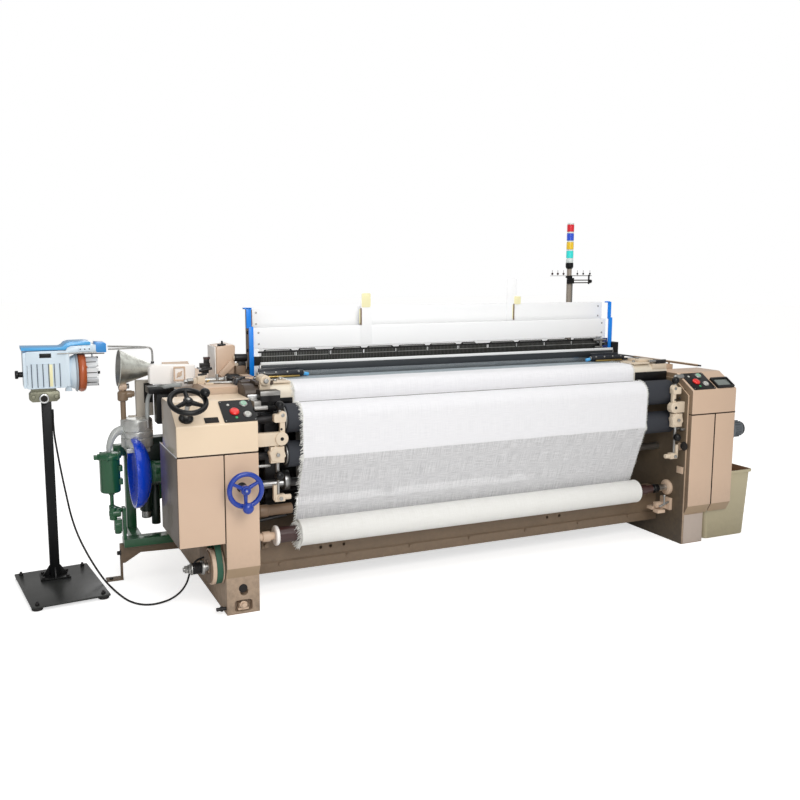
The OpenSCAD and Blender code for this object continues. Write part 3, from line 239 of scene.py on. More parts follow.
def make_coat_group():
    """Paint that isn't quite even: soft patches, a fine orange peel, and a darkening low down that stands for
    dirt, and on the inner sides of the frame and covers for painted shade.
    """
    graph, go, end = new_group("ShaderNodeTree", "Coat", [
        ("Colour", COLOUR, (0.5, 0.5, 0.5, 1)), ("Patches", NUMBER, 0.06), ("Patch Scale", NUMBER, 5.0),
        ("Peel Scale", NUMBER, 260.0), ("Roughness", NUMBER, 0.4), ("Dirt", NUMBER, 0.2),
        ("Dirt Height", NUMBER, 0.35),
    ], [("Colour", COLOUR), ("Roughness", NUMBER), ("Height", NUMBER)])
    place = graph.add("ShaderNodeTexCoord")["Object"]
    centred = graph.maths("SUBTRACT", graph.noise(place, go["Patch Scale"], 5.0, 0.62), 0.5)
    level = graph.maths("MULTIPLY_ADD", 2.0, graph.maths("MULTIPLY", centred, go["Patches"]), 1.0)
    shade = graph.vector("SCALE", {0: go["Colour"], "Scale": level})
    height = graph.add("ShaderNodeSeparateXYZ", {0: place})["Z"]
    low = graph.to_range(height, 0.0, go["Dirt Height"], 1.0, 0.0)
    spread = graph.maths("MULTIPLY", low, graph.noise(place, 38.0, 8.0, 0.75))
    amount = graph.maths("MULTIPLY", spread, go["Dirt"], use_clamp=True)
    graph.feed(end, {
        "Colour": graph.blend(amount, shade, DIRT_AND_SHADE_COLOUR),
        "Roughness": graph.maths("MULTIPLY_ADD", centred, 0.25, go["Roughness"]),
        "Height": graph.noise(place, go["Peel Scale"], 2.0)})
    return graph.tree


def make_brushed_group():
    """Fine scratches that run along one way of the piece, with duller and brighter patches; the dull patches
    stand for tarnish, and on the spun cone for painted dark reflections.
    """
    graph, go, end = new_group("ShaderNodeTree", "Brushed", [
        ("Colour", COLOUR, (0.6, 0.6, 0.6, 1)), ("Stretch", VECTOR, (3.0, 160.0, 160.0)),
        ("Roughness", NUMBER, 0.3), ("Tarnish", NUMBER, 0.2),
    ], [("Colour", COLOUR), ("Roughness", NUMBER), ("Height", NUMBER)])
    place = graph.add("ShaderNodeTexCoord")["Object"]
    scratch = graph.noise(graph.vector("MULTIPLY", {0: place, 1: go["Stretch"]}), 1.0, 4.0)
    dull = graph.to_range(graph.noise(place, 22.0, 6.0, 0.7), 0.45, 0.75)
    much = graph.maths("MULTIPLY", dull, go["Tarnish"], use_clamp=True)
    graph.feed(end, {
        "Colour": graph.blend(much, go["Colour"], TARNISH_AND_REFLECTION_COLOUR),
        "Roughness": graph.maths("MULTIPLY_ADD", scratch, 0.22, go["Roughness"]),
        "Height": scratch})
    return graph.tree


def make_weave_group():
    """Gauze: warp and weft threads of uneven thickness, read from the piece's own UV map in metres."""
    graph, go, end = new_group("ShaderNodeTree", "Gauze", [
        ("Colour", COLOUR, (0.9, 0.9, 0.9, 1)), ("Shadow", COLOUR, (0.6, 0.6, 0.62, 1)),
        ("Threads", NUMBER, 420.0), ("Slubs", NUMBER, 0.3),
    ], [("Colour", COLOUR), ("Height", NUMBER), ("Cover", NUMBER)])
    spot = graph.add("ShaderNodeUVMap", uv_map="Cloth")["UV"]
    weave = {"Vector": spot, "Scale": go["Threads"], "Distortion": 0.6, "Detail": 1.0, "Detail Scale": 0.4}
    waves = [graph.add("ShaderNodeTexWave", weave, bands_direction=way, wave_profile="SIN")["Fac"]
             for way in "XY"]
    streaks = [graph.noise(graph.vector("MULTIPLY", {0: spot, 1: stretch}), 1.0, 3.0, 0.6)
               for stretch in ((14.0, 420.0, 1.0), (520.0, 9.0, 1.0))]
    uneven = graph.to_range(graph.maths("ADD", *streaks), 0.75, 1.25)
    much = graph.maths("MULTIPLY", uneven, go["Slubs"], use_clamp=True)
    graph.feed(end, {
        "Colour": graph.blend(much, go["Colour"], go["Shadow"]),
        "Height": graph.maths("MAXIMUM", *waves),
        "Cover": graph.to_range(much, 0.0, 1.0, 1.0, 0.55)})
    return graph.tree


COAT, BRUSHED, GAUZE = make_coat_group(), make_brushed_group(), make_weave_group()


def new_material(name):
    made = bpy.data.materials.new(name)
    made.use_nodes = True
    return made, Graph(made.node_tree), made.node_tree.nodes["Principled BSDF"]


def grouped(name, rgb, group, values, bump, depth, looks):
    """A material that takes its colour and height, and its roughness if there is one, from a group."""
    made, graph, shader = new_material(name)
    skin = graph.add("ShaderNodeGroup", {"Colour": linear(*rgb), **values}, node_tree=group)
    graph.feed(shader, {"Base Color": skin["Colour"], **looks})
    if group != GAUZE:
        graph.feed(shader, {"Roughness": skin["Roughness"]})
    relief = graph.add("ShaderNodeBump", {"Strength": bump, "Distance": depth, "Height": skin["Height"]})
    graph.feed(shader, {"Normal": relief["Normal"]})
    made.diffuse_color = linear(*rgb)
    return made, graph, shader, skin


def painted(name, rgb, rough, patches, peel, dirt_and_shade=0.0, dirt_and_shade_height=0.35, coat=0.0, peel_scale=260.0,
            metallic=0.0, patch_scale=5.0, shine=0.5):
    return grouped(name, rgb, COAT, {
        "Patches": patches, "Roughness": rough, "Dirt": dirt_and_shade, "Dirt Height": dirt_and_shade_height,
        "Peel Scale": peel_scale, "Patch Scale": patch_scale,
    }, peel, 0.001, {"Specular IOR Level": shine, "Metallic": metallic, "Coat Weight": coat})[0]


def bare_metal(name, rgb, rough, stretch=(3.0, 160.0, 160.0), tarnish_and_reflection=0.15, bump=0.08):
    return grouped(name, rgb, BRUSHED, {"Stretch": stretch, "Roughness": rough, "Tarnish": tarnish_and_reflection},
                   bump, 0.0006, {"Metallic": 1.0})[0]


def woven(name, rgb, shadow, slubs=0.3, bump=0.25, see_through=0.0, threads=420.0):
    made, graph, shader, skin = grouped(
        name, rgb, GAUZE, {"Shadow": linear(*shadow), "Slubs": slubs, "Threads": threads}, bump, 0.0012,
        {"Roughness": 0.9, "Sheen Weight": 0.15})
    if see_through:
        cover = graph.maths("MULTIPLY_ADD", skin["Cover"], see_through, 1.0 - see_through)
        graph.feed(shader, {"Alpha": cover})
    return made


# painted: sRGB colour, roughness, unevenness of the colour, orange peel. bare_metal: colour, roughness.
TAN = painted("tan enamel", (214, 185, 160), 0.36, 0.035, 0.12, dirt_and_shade=0.55, dirt_and_shade_height=0.42, coat=0.25)
TAN_CAST = painted("tan enamel on castings", (205, 178, 152), 0.45, 0.09, 0.35, dirt_and_shade=1.0, dirt_and_shade_height=0.6,
                   peel_scale=120.0)
BROWN_CAST = painted("brown machine paint", (137, 116, 94), 0.5, 0.14, 0.3, dirt_and_shade=0.9, peel_scale=110.0)
TAN_SMALL = painted("tan small castings", (214, 188, 164), 0.42, 0.1, 0.3, peel_scale=150.0)
BLACK_COAT = painted("black powder coat", (14, 16, 18), 0.4, 0.2, 0.25, dirt_and_shade=0.1, shine=0.25)
BLACK_PLASTIC = painted("black plastic", (12, 12, 14), 0.3, 0.1, 0.06, shine=0.35)
DARK_STEEL = painted("dark oiled steel", (52, 51, 52), 0.42, 0.3, 0.2, dirt_and_shade=0.2, metallic=0.6)
WHEEL_BLUE = painted("blue wheel enamel", (12, 56, 160), 0.26, 0.08, 0.08, coat=0.5)
BLUE_PAINT = painted("blue enamel", (10, 74, 226), 0.26, 0.08, 0.08, coat=0.5)
GUIDE_BLUE = painted("blue guide paint", (8, 134, 240), 0.34, 0.06, 0.08)
GREEN_PAINT = painted("green enamel", (28, 90, 54), 0.3, 0.1, 0.14, dirt_and_shade=0.25, coat=0.4)
WHITE_BAR = painted("white heald bar", (253, 254, 255), 0.34, 0.015, 0.04)
CREAM_BOX = painted("cream casing", (254, 250, 246), 0.42, 0.03, 0.1)
FEEDER_GREY = painted("feeder housing", (222, 237, 248), 0.3, 0.03, 0.06, coat=0.3)
FEEDER_BLUE = painted("feeder lid plastic", (82, 176, 237), 0.3, 0.03, 0.05, coat=0.3)
FEEDER_ORANGE = painted("orange winding ring", (186, 92, 48), 0.3, 0.08, 0.06, coat=0.3)
FEEDER_RING_GREY = painted("grey flared ring", (172, 180, 188), 0.3, 0.03, 0.05)
ROLLER_GREY = painted("roller covering", (48, 51, 58), 0.75, 0.16, 0.6, peel_scale=420.0)
MAROON_CORE = painted("dark roller core", (62, 38, 36), 0.3, 0.2, 0.1, coat=0.3)
BIN_PLASTIC = painted("bin plastic", (190, 180, 150), 0.5, 0.05, 0.2, dirt_and_shade=0.35, peel_scale=90.0)
MOTOR_GREY = painted("motor paint", (104, 110, 116), 0.45, 0.08, 0.2, dirt_and_shade=0.2)
BELT_GREEN = painted("belt", (34, 92, 70), 0.6, 0.1, 0.2, dirt_and_shade=0.3)
RUBBER = painted("black rubber", (26, 26, 26), 0.7, 0.15, 0.3, dirt_and_shade=0.2)
HOSE_GREY = painted("grey hose", (172, 176, 174), 0.35, 0.06, 0.05, coat=0.3)
YELLOWED = painted("yellowed plastic", (250, 244, 196), 0.4, 0.06, 0.05)
BIN_INSIDE = painted("brown inside of the bin", (112, 78, 50), 0.6, 0.3, 0.3)
HEDDLE_BLACK = painted("heddle black", (40, 40, 38), 0.4, 0.3, 0.1, metallic=0.4)
BRIGHT_STEEL = bare_metal("bright steel", (206, 207, 208), 0.16)
TURNED_STEEL = bare_metal("turned steel", (176, 176, 176), 0.24, stretch=(160.0, 3.0, 3.0))
PLAIN_STEEL = bare_metal("plain steel", (178, 178, 176), 0.3, stretch=(40.0, 40.0, 40.0), tarnish_and_reflection=0.4)
CAST_ALUMINIUM = bare_metal("cast aluminium", (170, 169, 166), 0.34, stretch=(60.0, 60.0, 60.0), tarnish_and_reflection=0.35,
                            bump=0.3)
BRASS = bare_metal("brass", (206, 176, 108), 0.25, stretch=(3.0, 120.0, 120.0), tarnish_and_reflection=0.2)
RED_CAP = painted("red push button", (236, 38, 32), 0.25, 0.03, 0.02, coat=0.5)
GREEN_CAP = painted("pale green push button", (160, 206, 180), 0.25, 0.03, 0.02, coat=0.5)
WHITE_CAP = painted("white push button", (206, 206, 200), 0.3, 0.03, 0.02, coat=0.4)
LCD_GLASS = painted("display window", (120, 128, 124), 0.12, 0.03, 0.0, coat=0.6)
GREEN_LENS = painted("green lamp lens", (60, 170, 110), 0.2, 0.05, 0.02, coat=0.4)
BEAM_PAINT = painted("beam paint", (234, 224, 206), 0.4, 0.08, 0.2, peel_scale=150.0)
BROWN_SMALL = painted("brown small castings", (120, 98, 78), 0.45, 0.16, 0.3, dirt_and_shade=0.1, peel_scale=140.0)
DEEP_BLUE = painted("navy guide foot", (14, 42, 110), 0.32, 0.12, 0.08)
HEDDLE_LIGHT = bare_metal("heddle bright wire", (190, 192, 190), 0.3, tarnish_and_reflection=0.5)
HEDDLE_GREY = bare_metal("heddle grey wire", (120, 122, 120), 0.34, tarnish_and_reflection=0.5)
HEDDLE_WIRE = bare_metal("heddle wires", (176, 180, 180), 0.34, stretch=(160.0, 160.0, 3.0), tarnish_and_reflection=0.3)
REED_WHITE = painted("reed cap", (240, 242, 242), 0.35, 0.03, 0.05)
REED_BAND = painted("reed band", (58, 62, 66), 0.4, 0.2, 0.1, metallic=0.3)
REED_GREY = painted("reed wires in shade", (128, 140, 148), 0.5, 0.2, 0.3)
DEEP_BLACK_BLUE = painted("black temple bar", (18, 24, 34), 0.3, 0.2, 0.1, coat=0.3)
CREAM_CAST = painted("cream small castings", (222, 205, 182), 0.42, 0.1, 0.35, peel_scale=150.0)
DEEP_HOLE = painted("shade in a hole", (30, 26, 24), 0.8, 0.2, 0.1)
DEEP_GREEN = painted("dark green pump works", (22, 40, 32), 0.35, 0.25, 0.2, dirt_and_shade=0.1, coat=0.2)
BOX_GREY = painted("grey tan valve box", (196, 187, 174), 0.42, 0.1, 0.2)
CLEAR_HOSE = painted("milky hose", (186, 190, 188), 0.25, 0.06, 0.05, coat=0.5)
STAND_PLATE = painted("dark stand plate", (44, 46, 45), 0.3, 0.2, 0.15, dirt_and_shade=0.1, shine=0.4)
POLE_BLACK = painted("black pole paint", (14, 16, 18), 0.35, 0.2, 0.15, dirt_and_shade=0.1, shine=0.22)
CLAMP_STEEL = bare_metal("olive steel clamp", (150, 150, 132), 0.34, stretch=(50.0, 50.0, 50.0), tarnish_and_reflection=0.3)
FEEDER_EDGE = painted("feeder housing rib", (84, 96, 112), 0.35, 0.05, 0.05)
FEEDER_BLUE_DARK = painted("deep blue feeder block", (58, 150, 224), 0.3, 0.06, 0.05, coat=0.3)
FINGER_STEEL = painted("bright drum fingers", (242, 245, 247), 0.16, 0.1, 0.03, coat=0.4, metallic=0.1)
CLEAR_GREY = painted("pale drum fingers", (206, 212, 214), 0.22, 0.05, 0.03, coat=0.5)
# The spun cone's dark streaks, made by its dull patches, are painted reflections of its dark surroundings.
CONE_STEEL = bare_metal("spun cone steel", (228, 230, 222), 0.28, stretch=(60.0, 9.0, 9.0), tarnish_and_reflection=0.6)
CONE_INSIDE = bare_metal("cone steel inside", (150, 149, 146), 0.34, stretch=(120.0, 8.0, 8.0), tarnish_and_reflection=0.25)
NOZZLE_TAN = painted("nozzle cover tan", (212, 184, 160), 0.38, 0.05, 0.15, coat=0.2)
SOOT_STEEL = painted("blackened steel", (34, 33, 34), 0.34, 0.3, 0.15, metallic=0.4)
POST_TAN = painted("post paint", (158, 148, 136), 0.36, 0.08, 0.15)
RACK_STEEL = bare_metal("rack rods", (120, 118, 114), 0.36, tarnish_and_reflection=0.4)
LAMP_LENSES = [painted(colour + " lamp lens", rgb, 0.18, 0.04, 0.02, coat=0.6) for colour, rgb in (
    ("pale", (232, 240, 238)), ("cyan", (56, 244, 238)), ("amber", (255, 212, 46)),
    ("blue", (46, 88, 224)), ("red", (232, 34, 50)))]
# A lighter copy of the tan enamel for the left cap and its window frame: painted light, as more light falls
# on the left.
TAN_PAINTED_LIGHT = painted("tan enamel with painted light, left cap", (234, 212, 184), 0.36, 0.035, 0.12, coat=0.25)
SIDE_GLOSS = painted("glossy side in the shade", (94, 79, 68), 0.34, 0.25, 0.05, dirt_and_shade=0.3, coat=0.1,
                     patch_scale=2.5)
CAP_SIDE = painted("cap side in the shade", (160, 148, 134), 0.2, 0.2, 0.05, coat=0.4, patch_scale=3.0)
# Painted shade: a darker tan for the covers' sides that look along -x, darker still towards the bottom; the
# pump head's upper fittings reuse it for their darker colour.
SIDE_SHADE = painted("darker tan enamel, painted shade on the covers' sides", (138, 117, 96), 0.3, 0.14, 0.12, dirt_and_shade=1.0, dirt_and_shade_height=1.1,
                     patch_scale=2.0)
OILY_END = painted("oily end of the beam", (70, 57, 46), 0.42, 0.6, 0.4, patch_scale=26.0)
# Painted shade for the inner side of the right frame: a dark casting paint, darker still towards the bottom.
CAST_SHADE = painted("casting, painted shade on the inner side", (112, 96, 76), 0.5, 0.3, 0.35, dirt_and_shade=1.3, dirt_and_shade_height=0.9,
                     peel_scale=120.0, patch_scale=3.0)
LEG_PLATE = painted("grey leg plate", (190, 176, 165), 0.42, 0.05, 0.12, dirt_and_shade=0.2)
# Painted shade for the cover faces that look down.
BEND_SHADE = painted("tan enamel, painted shade under the bend", (170, 146, 118), 0.4, 0.08, 0.12, dirt_and_shade=0.3)
# Painted shade for the narrow gaps between the covers.
SEAM_SHADE = painted("painted shade in the seams", (54, 42, 34), 0.6, 0.2, 0.1, shine=0.2)
# Painted shade for the crease where the cloth folds under the breast beam.
CLOTH_FOLD_SHADE = woven("gauze, painted shade in the fold", (128, 126, 124), (96, 94, 92), slubs=0.4)
CLOTH_SHADE = woven("warp, painted shade under the reed", (172, 184, 192), (112, 124, 132), slubs=0.9, threads=300.0)
CRUMPLED = painted("foil on the pump head", (206, 207, 204), 0.24, 0.4, 0.9, peel_scale=34.0, metallic=0.55,
                   patch_scale=22.0)
YARN_WHITE = painted("loose white yarn", (248, 248, 244), 0.9, 0.05, 0.2)
CLOTH = woven("white gauze", (243, 243, 246), (206, 207, 212), slubs=0.35)
CLOTH_THIN = woven("single gauze", (238, 238, 240), (176, 177, 180), slubs=0.65, see_through=0.55)
CLOTH_ROLL = woven("rolled gauze", (250, 250, 247), (222, 221, 214), slubs=0.4, bump=0.5)
WARP_YARN = woven("warp yarns", (228, 230, 232), (150, 154, 158), slubs=0.8, threads=300.0)


# Building in loom millimetres
class Form:
    """Collects solids in loom millimetres and turns them into one piece; calls can be chained."""

    def __init__(self):
        self.mesh = bmesh.new()
        self.paint = 0

    def solid(self, points, faces):
        made = [self.mesh.verts.new(at(*p)) for p in points]
        for face in faces:
            try:
                self.mesh.faces.new([made[i] for i in face]).material_index = self.paint
            except ValueError:
                pass
        return self

    def use(self, number):
        """What follows takes the finish with this number."""
        self.paint = number
        return self

    def block(self, low, high):
        """A box by two corners."""
        points = [(x, y, z) for z in (low[2], high[2]) for x, y in (
            (low[0], low[1]), (high[0], low[1]), (high[0], high[1]), (low[0], high[1]))]
        faces = [(3, 2, 1, 0), (4, 5, 6, 7)] + [(i, (i + 1) % 4, 4 + (i + 1) % 4, 4 + i) for i in range(4)]
        return self.solid(points, faces)

    def boxes(self, *corners):
        """Boxes by the six numbers of their two corners."""
        for c in corners:
            self.block(c[:3], c[3:])
        return self

    def turned(self, start, axis, profile, sides=48):
        """A revolve. profile lists (radius, distance along the axis), open or closed on the axis."""
        axis = Vector(axis).normalized()
        across = axis.orthogonal().normalized()
        third = axis.cross(across)
        start = Vector(start)
        points, rows = [], []
        for radius, along in profile:
            middle = start + axis * along
            if radius < 1e-6:
                rows.append([len(points)])
                points.append(tuple(middle))
                continue
            rows.append(list(range(len(points), len(points) + sides)))
            for k in range(sides):
                a = 2 * math.pi * k / sides
                points.append(tuple(middle + radius * (math.cos(a) * across + math.sin(a) * third)))
        faces = []
        for low, high in zip(rows, rows[1:]):
            for k in range(sides):
                m = (k + 1) % sides
                if len(low) == 1 and len(high) == 1:
                    continue
                if len(low) == 1:
                    faces.append((low[0], high[m], high[k]))
                elif len(high) == 1:
                    faces.append((low[k], low[m], high[0]))
                else:
                    faces.append((low[k], low[m], high[m], high[k]))
        return self.solid(points, faces)

    def bar(self, a, b, radius, sides=32, edge=0.0):
        """A round bar from a to b, with a small chamfer."""
        a, b = Vector(a), Vector(b)
        length = (b - a).length
        e = min(edge or radius * 0.12, length / 3)
        return self.turned(a, b - a, [(0, 0), (radius - e, 0), (radius, e), (radius, length - e),
                                      (radius - e, length), (0, length)], sides)

    def hexagon(self, a, b, radius):
        a, b = Vector(a), Vector(b)
        n = (b - a).length
        return self.turned(a, b - a, [(0, 0), (radius * 0.92, 0), (radius, n * 0.15), (radius, n * 0.85),
                                      (radius * 0.92, n), (0, n)], 6)

    def ball(self, centre, radius, sides=32):
        rows = 16
        profile = [(radius * math.sin(math.pi * i / rows), radius * (1 - math.cos(math.pi * i / rows)))
                   for i in range(rows + 1)]
        profile[0], profile[-1] = (0, 0), (0, 2 * radius)
        return self.turned(Vector(centre) - Vector((0, 0, radius)), UP, profile, sides)

    def hoop(self, centre, axis, big, small, sides=72, round_sides=16):
        profile = [(big + small * math.cos(2 * math.pi * i / round_sides),
                    small * math.sin(2 * math.pi * i / round_sides)) for i in range(round_sides)]
        profile.append(profile[0])
        return self.turned(centre, axis, profile, sides)

    def pipe(self, path, radius, sides=14):
        """A bent rod or hose; radius may be a number or one number for each point."""
        path = [Vector(p) for p in path]
        radii = radius if isinstance(radius, list) else [radius] * len(path)
        points, side = [], None
        for i, p in enumerate(path):
            ahead = (path[min(i + 1, len(path) - 1)] - path[max(i - 1, 0)]).normalized()
            side = (side - ahead * side.dot(ahead)).normalized() if side else ahead.orthogonal().normalized()
            third = ahead.cross(side)
            for k in range(sides):
                a = 2 * math.pi * k / sides
                points.append(tuple(p + radii[i] * (math.cos(a) * side + math.sin(a) * third)))
        return self.solid(points, faces_of_rings(len(path), sides))

    def plate(self, outline, start, first, second, thick, holes=()):
        """A flat outline in the axes first and second from start, as thick as given along their cross."""
        first, second, start = Vector(first).normalized(), Vector(second).normalized(), Vector(start)
        normal = first.cross(second)
        loops = [list(outline)] + [list(h) for h in holes]
        flat = [p for loop in loops for p in loop]
        count = len(flat)
        points = [tuple(start + first * u + second * v + normal * d) for d in (0, thick) for u, v in flat]
        faces = []
        for tri in tessellate_polygon([[Vector((u, v, 0)) for u, v in loop] for loop in loops]):
            faces += [tuple(reversed(tri)), tuple(i + count for i in tri)]
        first_index = 0
        for loop in loops:
            n = len(loop)
            for i in range(n):
                a, b = first_index + i, first_index + (i + 1) % n
                faces.append((a, b, b + count, a + count))
            first_index += n
        return self.solid(points, faces)

    def shape(self, name, finishes, bevel=0.0, segments=2, smooth=32, tidy=True):
        """Turns what was collected into an object, not yet hung on a body."""
        mesh = self.mesh
        bmesh.ops.remove_doubles(mesh, verts=mesh.verts, dist=SAME_POINT)
        if tidy:
            bmesh.ops.recalc_face_normals(mesh, faces=mesh.faces)
            bmesh.ops.dissolve_limit(mesh, angle_limit=math.radians(0.3), verts=mesh.verts, edges=mesh.edges,
                                     delimit={"MATERIAL"})
        data = bpy.data.meshes.new(name)
        mesh.to_mesh(data)
        mesh.free()
        made = new_object(name, data, *(finishes if isinstance(finishes, list) else [finishes]))
        if bevel:
            round_edges(made, bevel, segments)
        smooth_by_angle(made, smooth)
        return made

    def piece(self, name, finishes, body="frame", replaces=(), slot=None, **looks):
        return claim(self.shape(name, finishes, **looks), body, replaces)


def claim(made, body="frame", replaces=()):
    """Hangs a finished piece on its body's empty and hides the nodes that it stands for."""
    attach(made, body)
    if replaces:
        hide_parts(*replaces)
    return made


def smooth_by_angle(thing, degrees):
    data = thing.data
    data.polygons.foreach_set("use_smooth", [True] * len(data.polygons))
    data.set_sharp_from_angle(angle=math.radians(degrees))


def settle(thing):
    """Turns the evaluated object into a plain mesh and drops its modifiers."""
    graph = bpy.context.evaluated_depsgraph_get()
    graph.update()
    data = bpy.data.meshes.new_from_object(thing.evaluated_get(graph))
    thing.modifiers.clear()
    old = thing.data
    thing.data = data
    bpy.data.meshes.remove(old)
    return thing


def round_edges(thing, width_mm, segments=2, angle=34):
    bevel = thing.modifiers.new("Rounded", "BEVEL")
    bevel.width = width_mm / 1000
    bevel.segments = segments
    bevel.limit_method = "ANGLE"
    bevel.angle_limit = math.radians(angle)
    bevel.use_clamp_overlap = True
    bevel.harden_normals = False
    settle(thing)


def dress(node, finish, bevel=2.0, segments=2):
    """A copy of a CAD node with rounded edges and its finish, in the node's place."""
    shape = bmesh.new()
    shape.from_mesh(nodes[node].data)
    bmesh.ops.remove_doubles(shape, verts=shape.verts, dist=SAME_POINT)
    bmesh.ops.dissolve_limit(shape, angle_limit=math.radians(0.4), verts=shape.verts, edges=shape.edges)
    data = bpy.data.meshes.new(node + "_dressed")
    shape.to_mesh(data)
    shape.free()
    made = new_object(node + "_dressed", data, finish)
    if bevel:
        round_edges(made, bevel, segments)
    smooth_by_angle(made, 32)
    return claim(made, body_of[node], [node])


def drum(radius, height):
    """The profile of a plain disc or rod."""
    return [(0, 0), (radius, 0), (radius, height), (0, height)]


def stud(radius, height, top_radius, top):
    """The profile of a screw head: a straight side, then a slope to its top."""
    return [(0, 0), (radius, 0), (radius, height), (top_radius, top), (0, top)]


def tube(inner, outer, height):
    """The profile of a plain ring."""
    return [(inner, 0), (outer, 0), (outer, height), (inner, height), (inner, 0)]


def curve_points(points, steps=8):
    """A smooth curve through given points."""
    p = [Vector(q) for q in points]
    out = []
    for i in range(len(p) - 1):
        a, b, c, d = p[max(i - 1, 0)], p[i], p[i + 1], p[min(i + 2, len(p) - 1)]
        for k in range(steps):
            t = k / steps
            out.append(0.5 * (2 * b + (c - a) * t + (2 * a - 5 * b + 4 * c - d) * t * t
                              + (3 * b - a - 3 * c + d) * t ** 3))
    out.append(p[-1])
    return out


def round_box(w, h, r, steps=5):
    """Outline of a rectangle from the origin with rounded corners."""
    out = []
    for cx, cy, a0 in ((w - r, r, -90), (w - r, h - r, 0), (r, h - r, 90), (r, r, 180)):
        for k in range(steps + 1):
            a = math.radians(a0 + 90 * k / steps)
            out.append((cx + r * math.cos(a), cy + r * math.sin(a)))
    return out


# Trees that repeat a shape
def new_shape_group(name, inputs):
    return new_group("GeometryNodeTree", name, [("Geometry", SHAPE), *inputs, ("Finish", FINISH)],
                     [("Geometry", SHAPE)])


def make_row_tree():
    """Repeats the piece's own mesh along a straight row."""
    graph, go, end = new_shape_group("Row of pieces", [("Count", COUNT, 4), ("Step", VECTOR, (0.01, 0, 0))])
    row = graph.add("GeometryNodeMeshLine", {"Count": go["Count"], "Offset": go["Step"]}, mode="OFFSET")
    return graph.hand_over(graph.copies(row["Mesh"], go["Geometry"]), go["Finish"], end)


def make_wheel_tree():
    """Repeats the piece's own mesh round an axis along X through a centre."""
    graph, go, end = new_shape_group("Round an axis", [("Count", COUNT, 8), ("Centre", VECTOR, (0, 0, 0))])
    back = graph.vector("SCALE", {0: go["Centre"], "Scale": -1})
    home = graph.add("GeometryNodeTransform", {"Geometry": go["Geometry"], "Translation": back})
    row = graph.add("GeometryNodeMeshLine", {"Count": go["Count"], "Offset": (0, 0, 0)}, mode="OFFSET")
    share = graph.maths("DIVIDE", graph.add("GeometryNodeInputIndex")[0], go["Count"])
    spin = graph.add("ShaderNodeCombineXYZ", {"X": graph.maths("MULTIPLY", share, 2 * math.pi)})[0]
    copies = graph.copies(row["Mesh"], home["Geometry"], Rotation=spin)
    moved = graph.add("GeometryNodeTransform", {"Geometry": copies, "Translation": go["Centre"]})
    return graph.hand_over(moved["Geometry"], go["Finish"], end)


def make_fringe_tree():
    """Loose yarn ends: bent strands on the vertices of the piece's own mesh, of random length and lean."""
    graph, go, end = new_shape_group("Loose yarn ends", [
        ("Length", NUMBER, 0.03), ("Thickness", NUMBER, 0.0009), ("Lean", VECTOR, (0.5, 0.0, -1.0)),
        ("Seed", COUNT, 1)])
    strand = graph.add("GeometryNodeCurveQuadraticBezier", {
        "Resolution": 4, "Start": (0, 0, 0), "Middle": (0.15, 0.0, 0.6), "End": (-0.1, 0.1, 1.0)})["Curve"]
    jitter = graph.add("FunctionNodeRandomValue", {
        "Min": (-0.55, -0.55, -0.45), "Max": (0.55, 0.55, 0.45), "Seed": go["Seed"],
    }, data_type="FLOAT_VECTOR")[0]
    lean = graph.vector("ADD", {0: go["Lean"], 1: jitter})
    aim = graph.add("FunctionNodeAlignRotationToVector", {"Vector": lean}, axis="Z")["Rotation"]
    share = graph.add("FunctionNodeRandomValue", {2: 0.35, 3: 1.0, "Seed": go["Seed"]}, data_type="FLOAT")[1]
    size = graph.maths("MULTIPLY", share, go["Length"])
    strands = graph.copies(go["Geometry"], strand, Rotation=aim, Scale=size)
    ring = graph.add("GeometryNodeCurvePrimitiveCircle", {
        "Resolution": 3, "Radius": go["Thickness"]})["Curve"]
    thick = graph.add("GeometryNodeCurveToMesh", {"Curve": strands, "Profile Curve": ring, "Fill Caps": True})
    return graph.hand_over(thick["Mesh"], go["Finish"], end)


ROW, WHEEL, FRINGE = make_row_tree(), make_wheel_tree(), make_fringe_tree()


def repeat(thing, tree, **values):
    """Runs one of the trees on a piece and leaves the result as a plain mesh."""
    modifier = thing.modifiers.new("Repeat", "NODES")
    modifier.node_group = tree
    for item in tree.interface.items_tree:
        if item.item_type == "SOCKET" and item.in_out == "INPUT" and item.name in values:
            modifier[item.identifier] = values[item.name]
    settle(thing)
    return thing


def row_of(form, name, finish, count, step_mm, body="frame", bevel=0.0, smooth=32):
    thing = form.shape(name, finish, bevel=bevel, smooth=smooth)
    repeat(thing, ROW, Count=count, Step=[s / 1000 for s in step_mm], Finish=finish)
    smooth_by_angle(thing, smooth)
    return claim(thing, body)


def ring_of(form, name, finish, count, centre, body="frame", smooth=32):
    thing = form.shape(name, finish, smooth=smooth)
    repeat(thing, WHEEL, Count=count, Centre=list(at(*centre)), Finish=finish)
    smooth_by_angle(thing, smooth)
    return claim(thing, body)


# Finishes of the model's own nodes
FINISH_OF_SLOT = {
    "tan_paint": TAN, "brown_paint": BROWN_CAST, "black_paint": BLACK_COAT,
    "black_plastic": BLACK_PLASTIC, "woven_cloth": CLOTH, "blue_paint": BLUE_PAINT,
    "green_paint": GREEN_PAINT, "bright_steel": BRIGHT_STEEL, "grey_hose": HOSE_GREY,
    "motor_grey": MOTOR_GREY, "belt_rubber": BELT_GREEN, "feeder_housing": FEEDER_GREY,
    "feeder_blue": FEEDER_BLUE, "feeder_orange": FEEDER_ORANGE, "lamp_lenses": RED_CAP,
    "bin_plastic": BIN_PLASTIC, "roller_grey": ROLLER_GREY, "dark_iron": DARK_STEEL,
    "white_aluminium": WHITE_BAR, "red_button": RED_CAP, "green_button": GREEN_CAP,
    "white_button": WHITE_CAP,
}

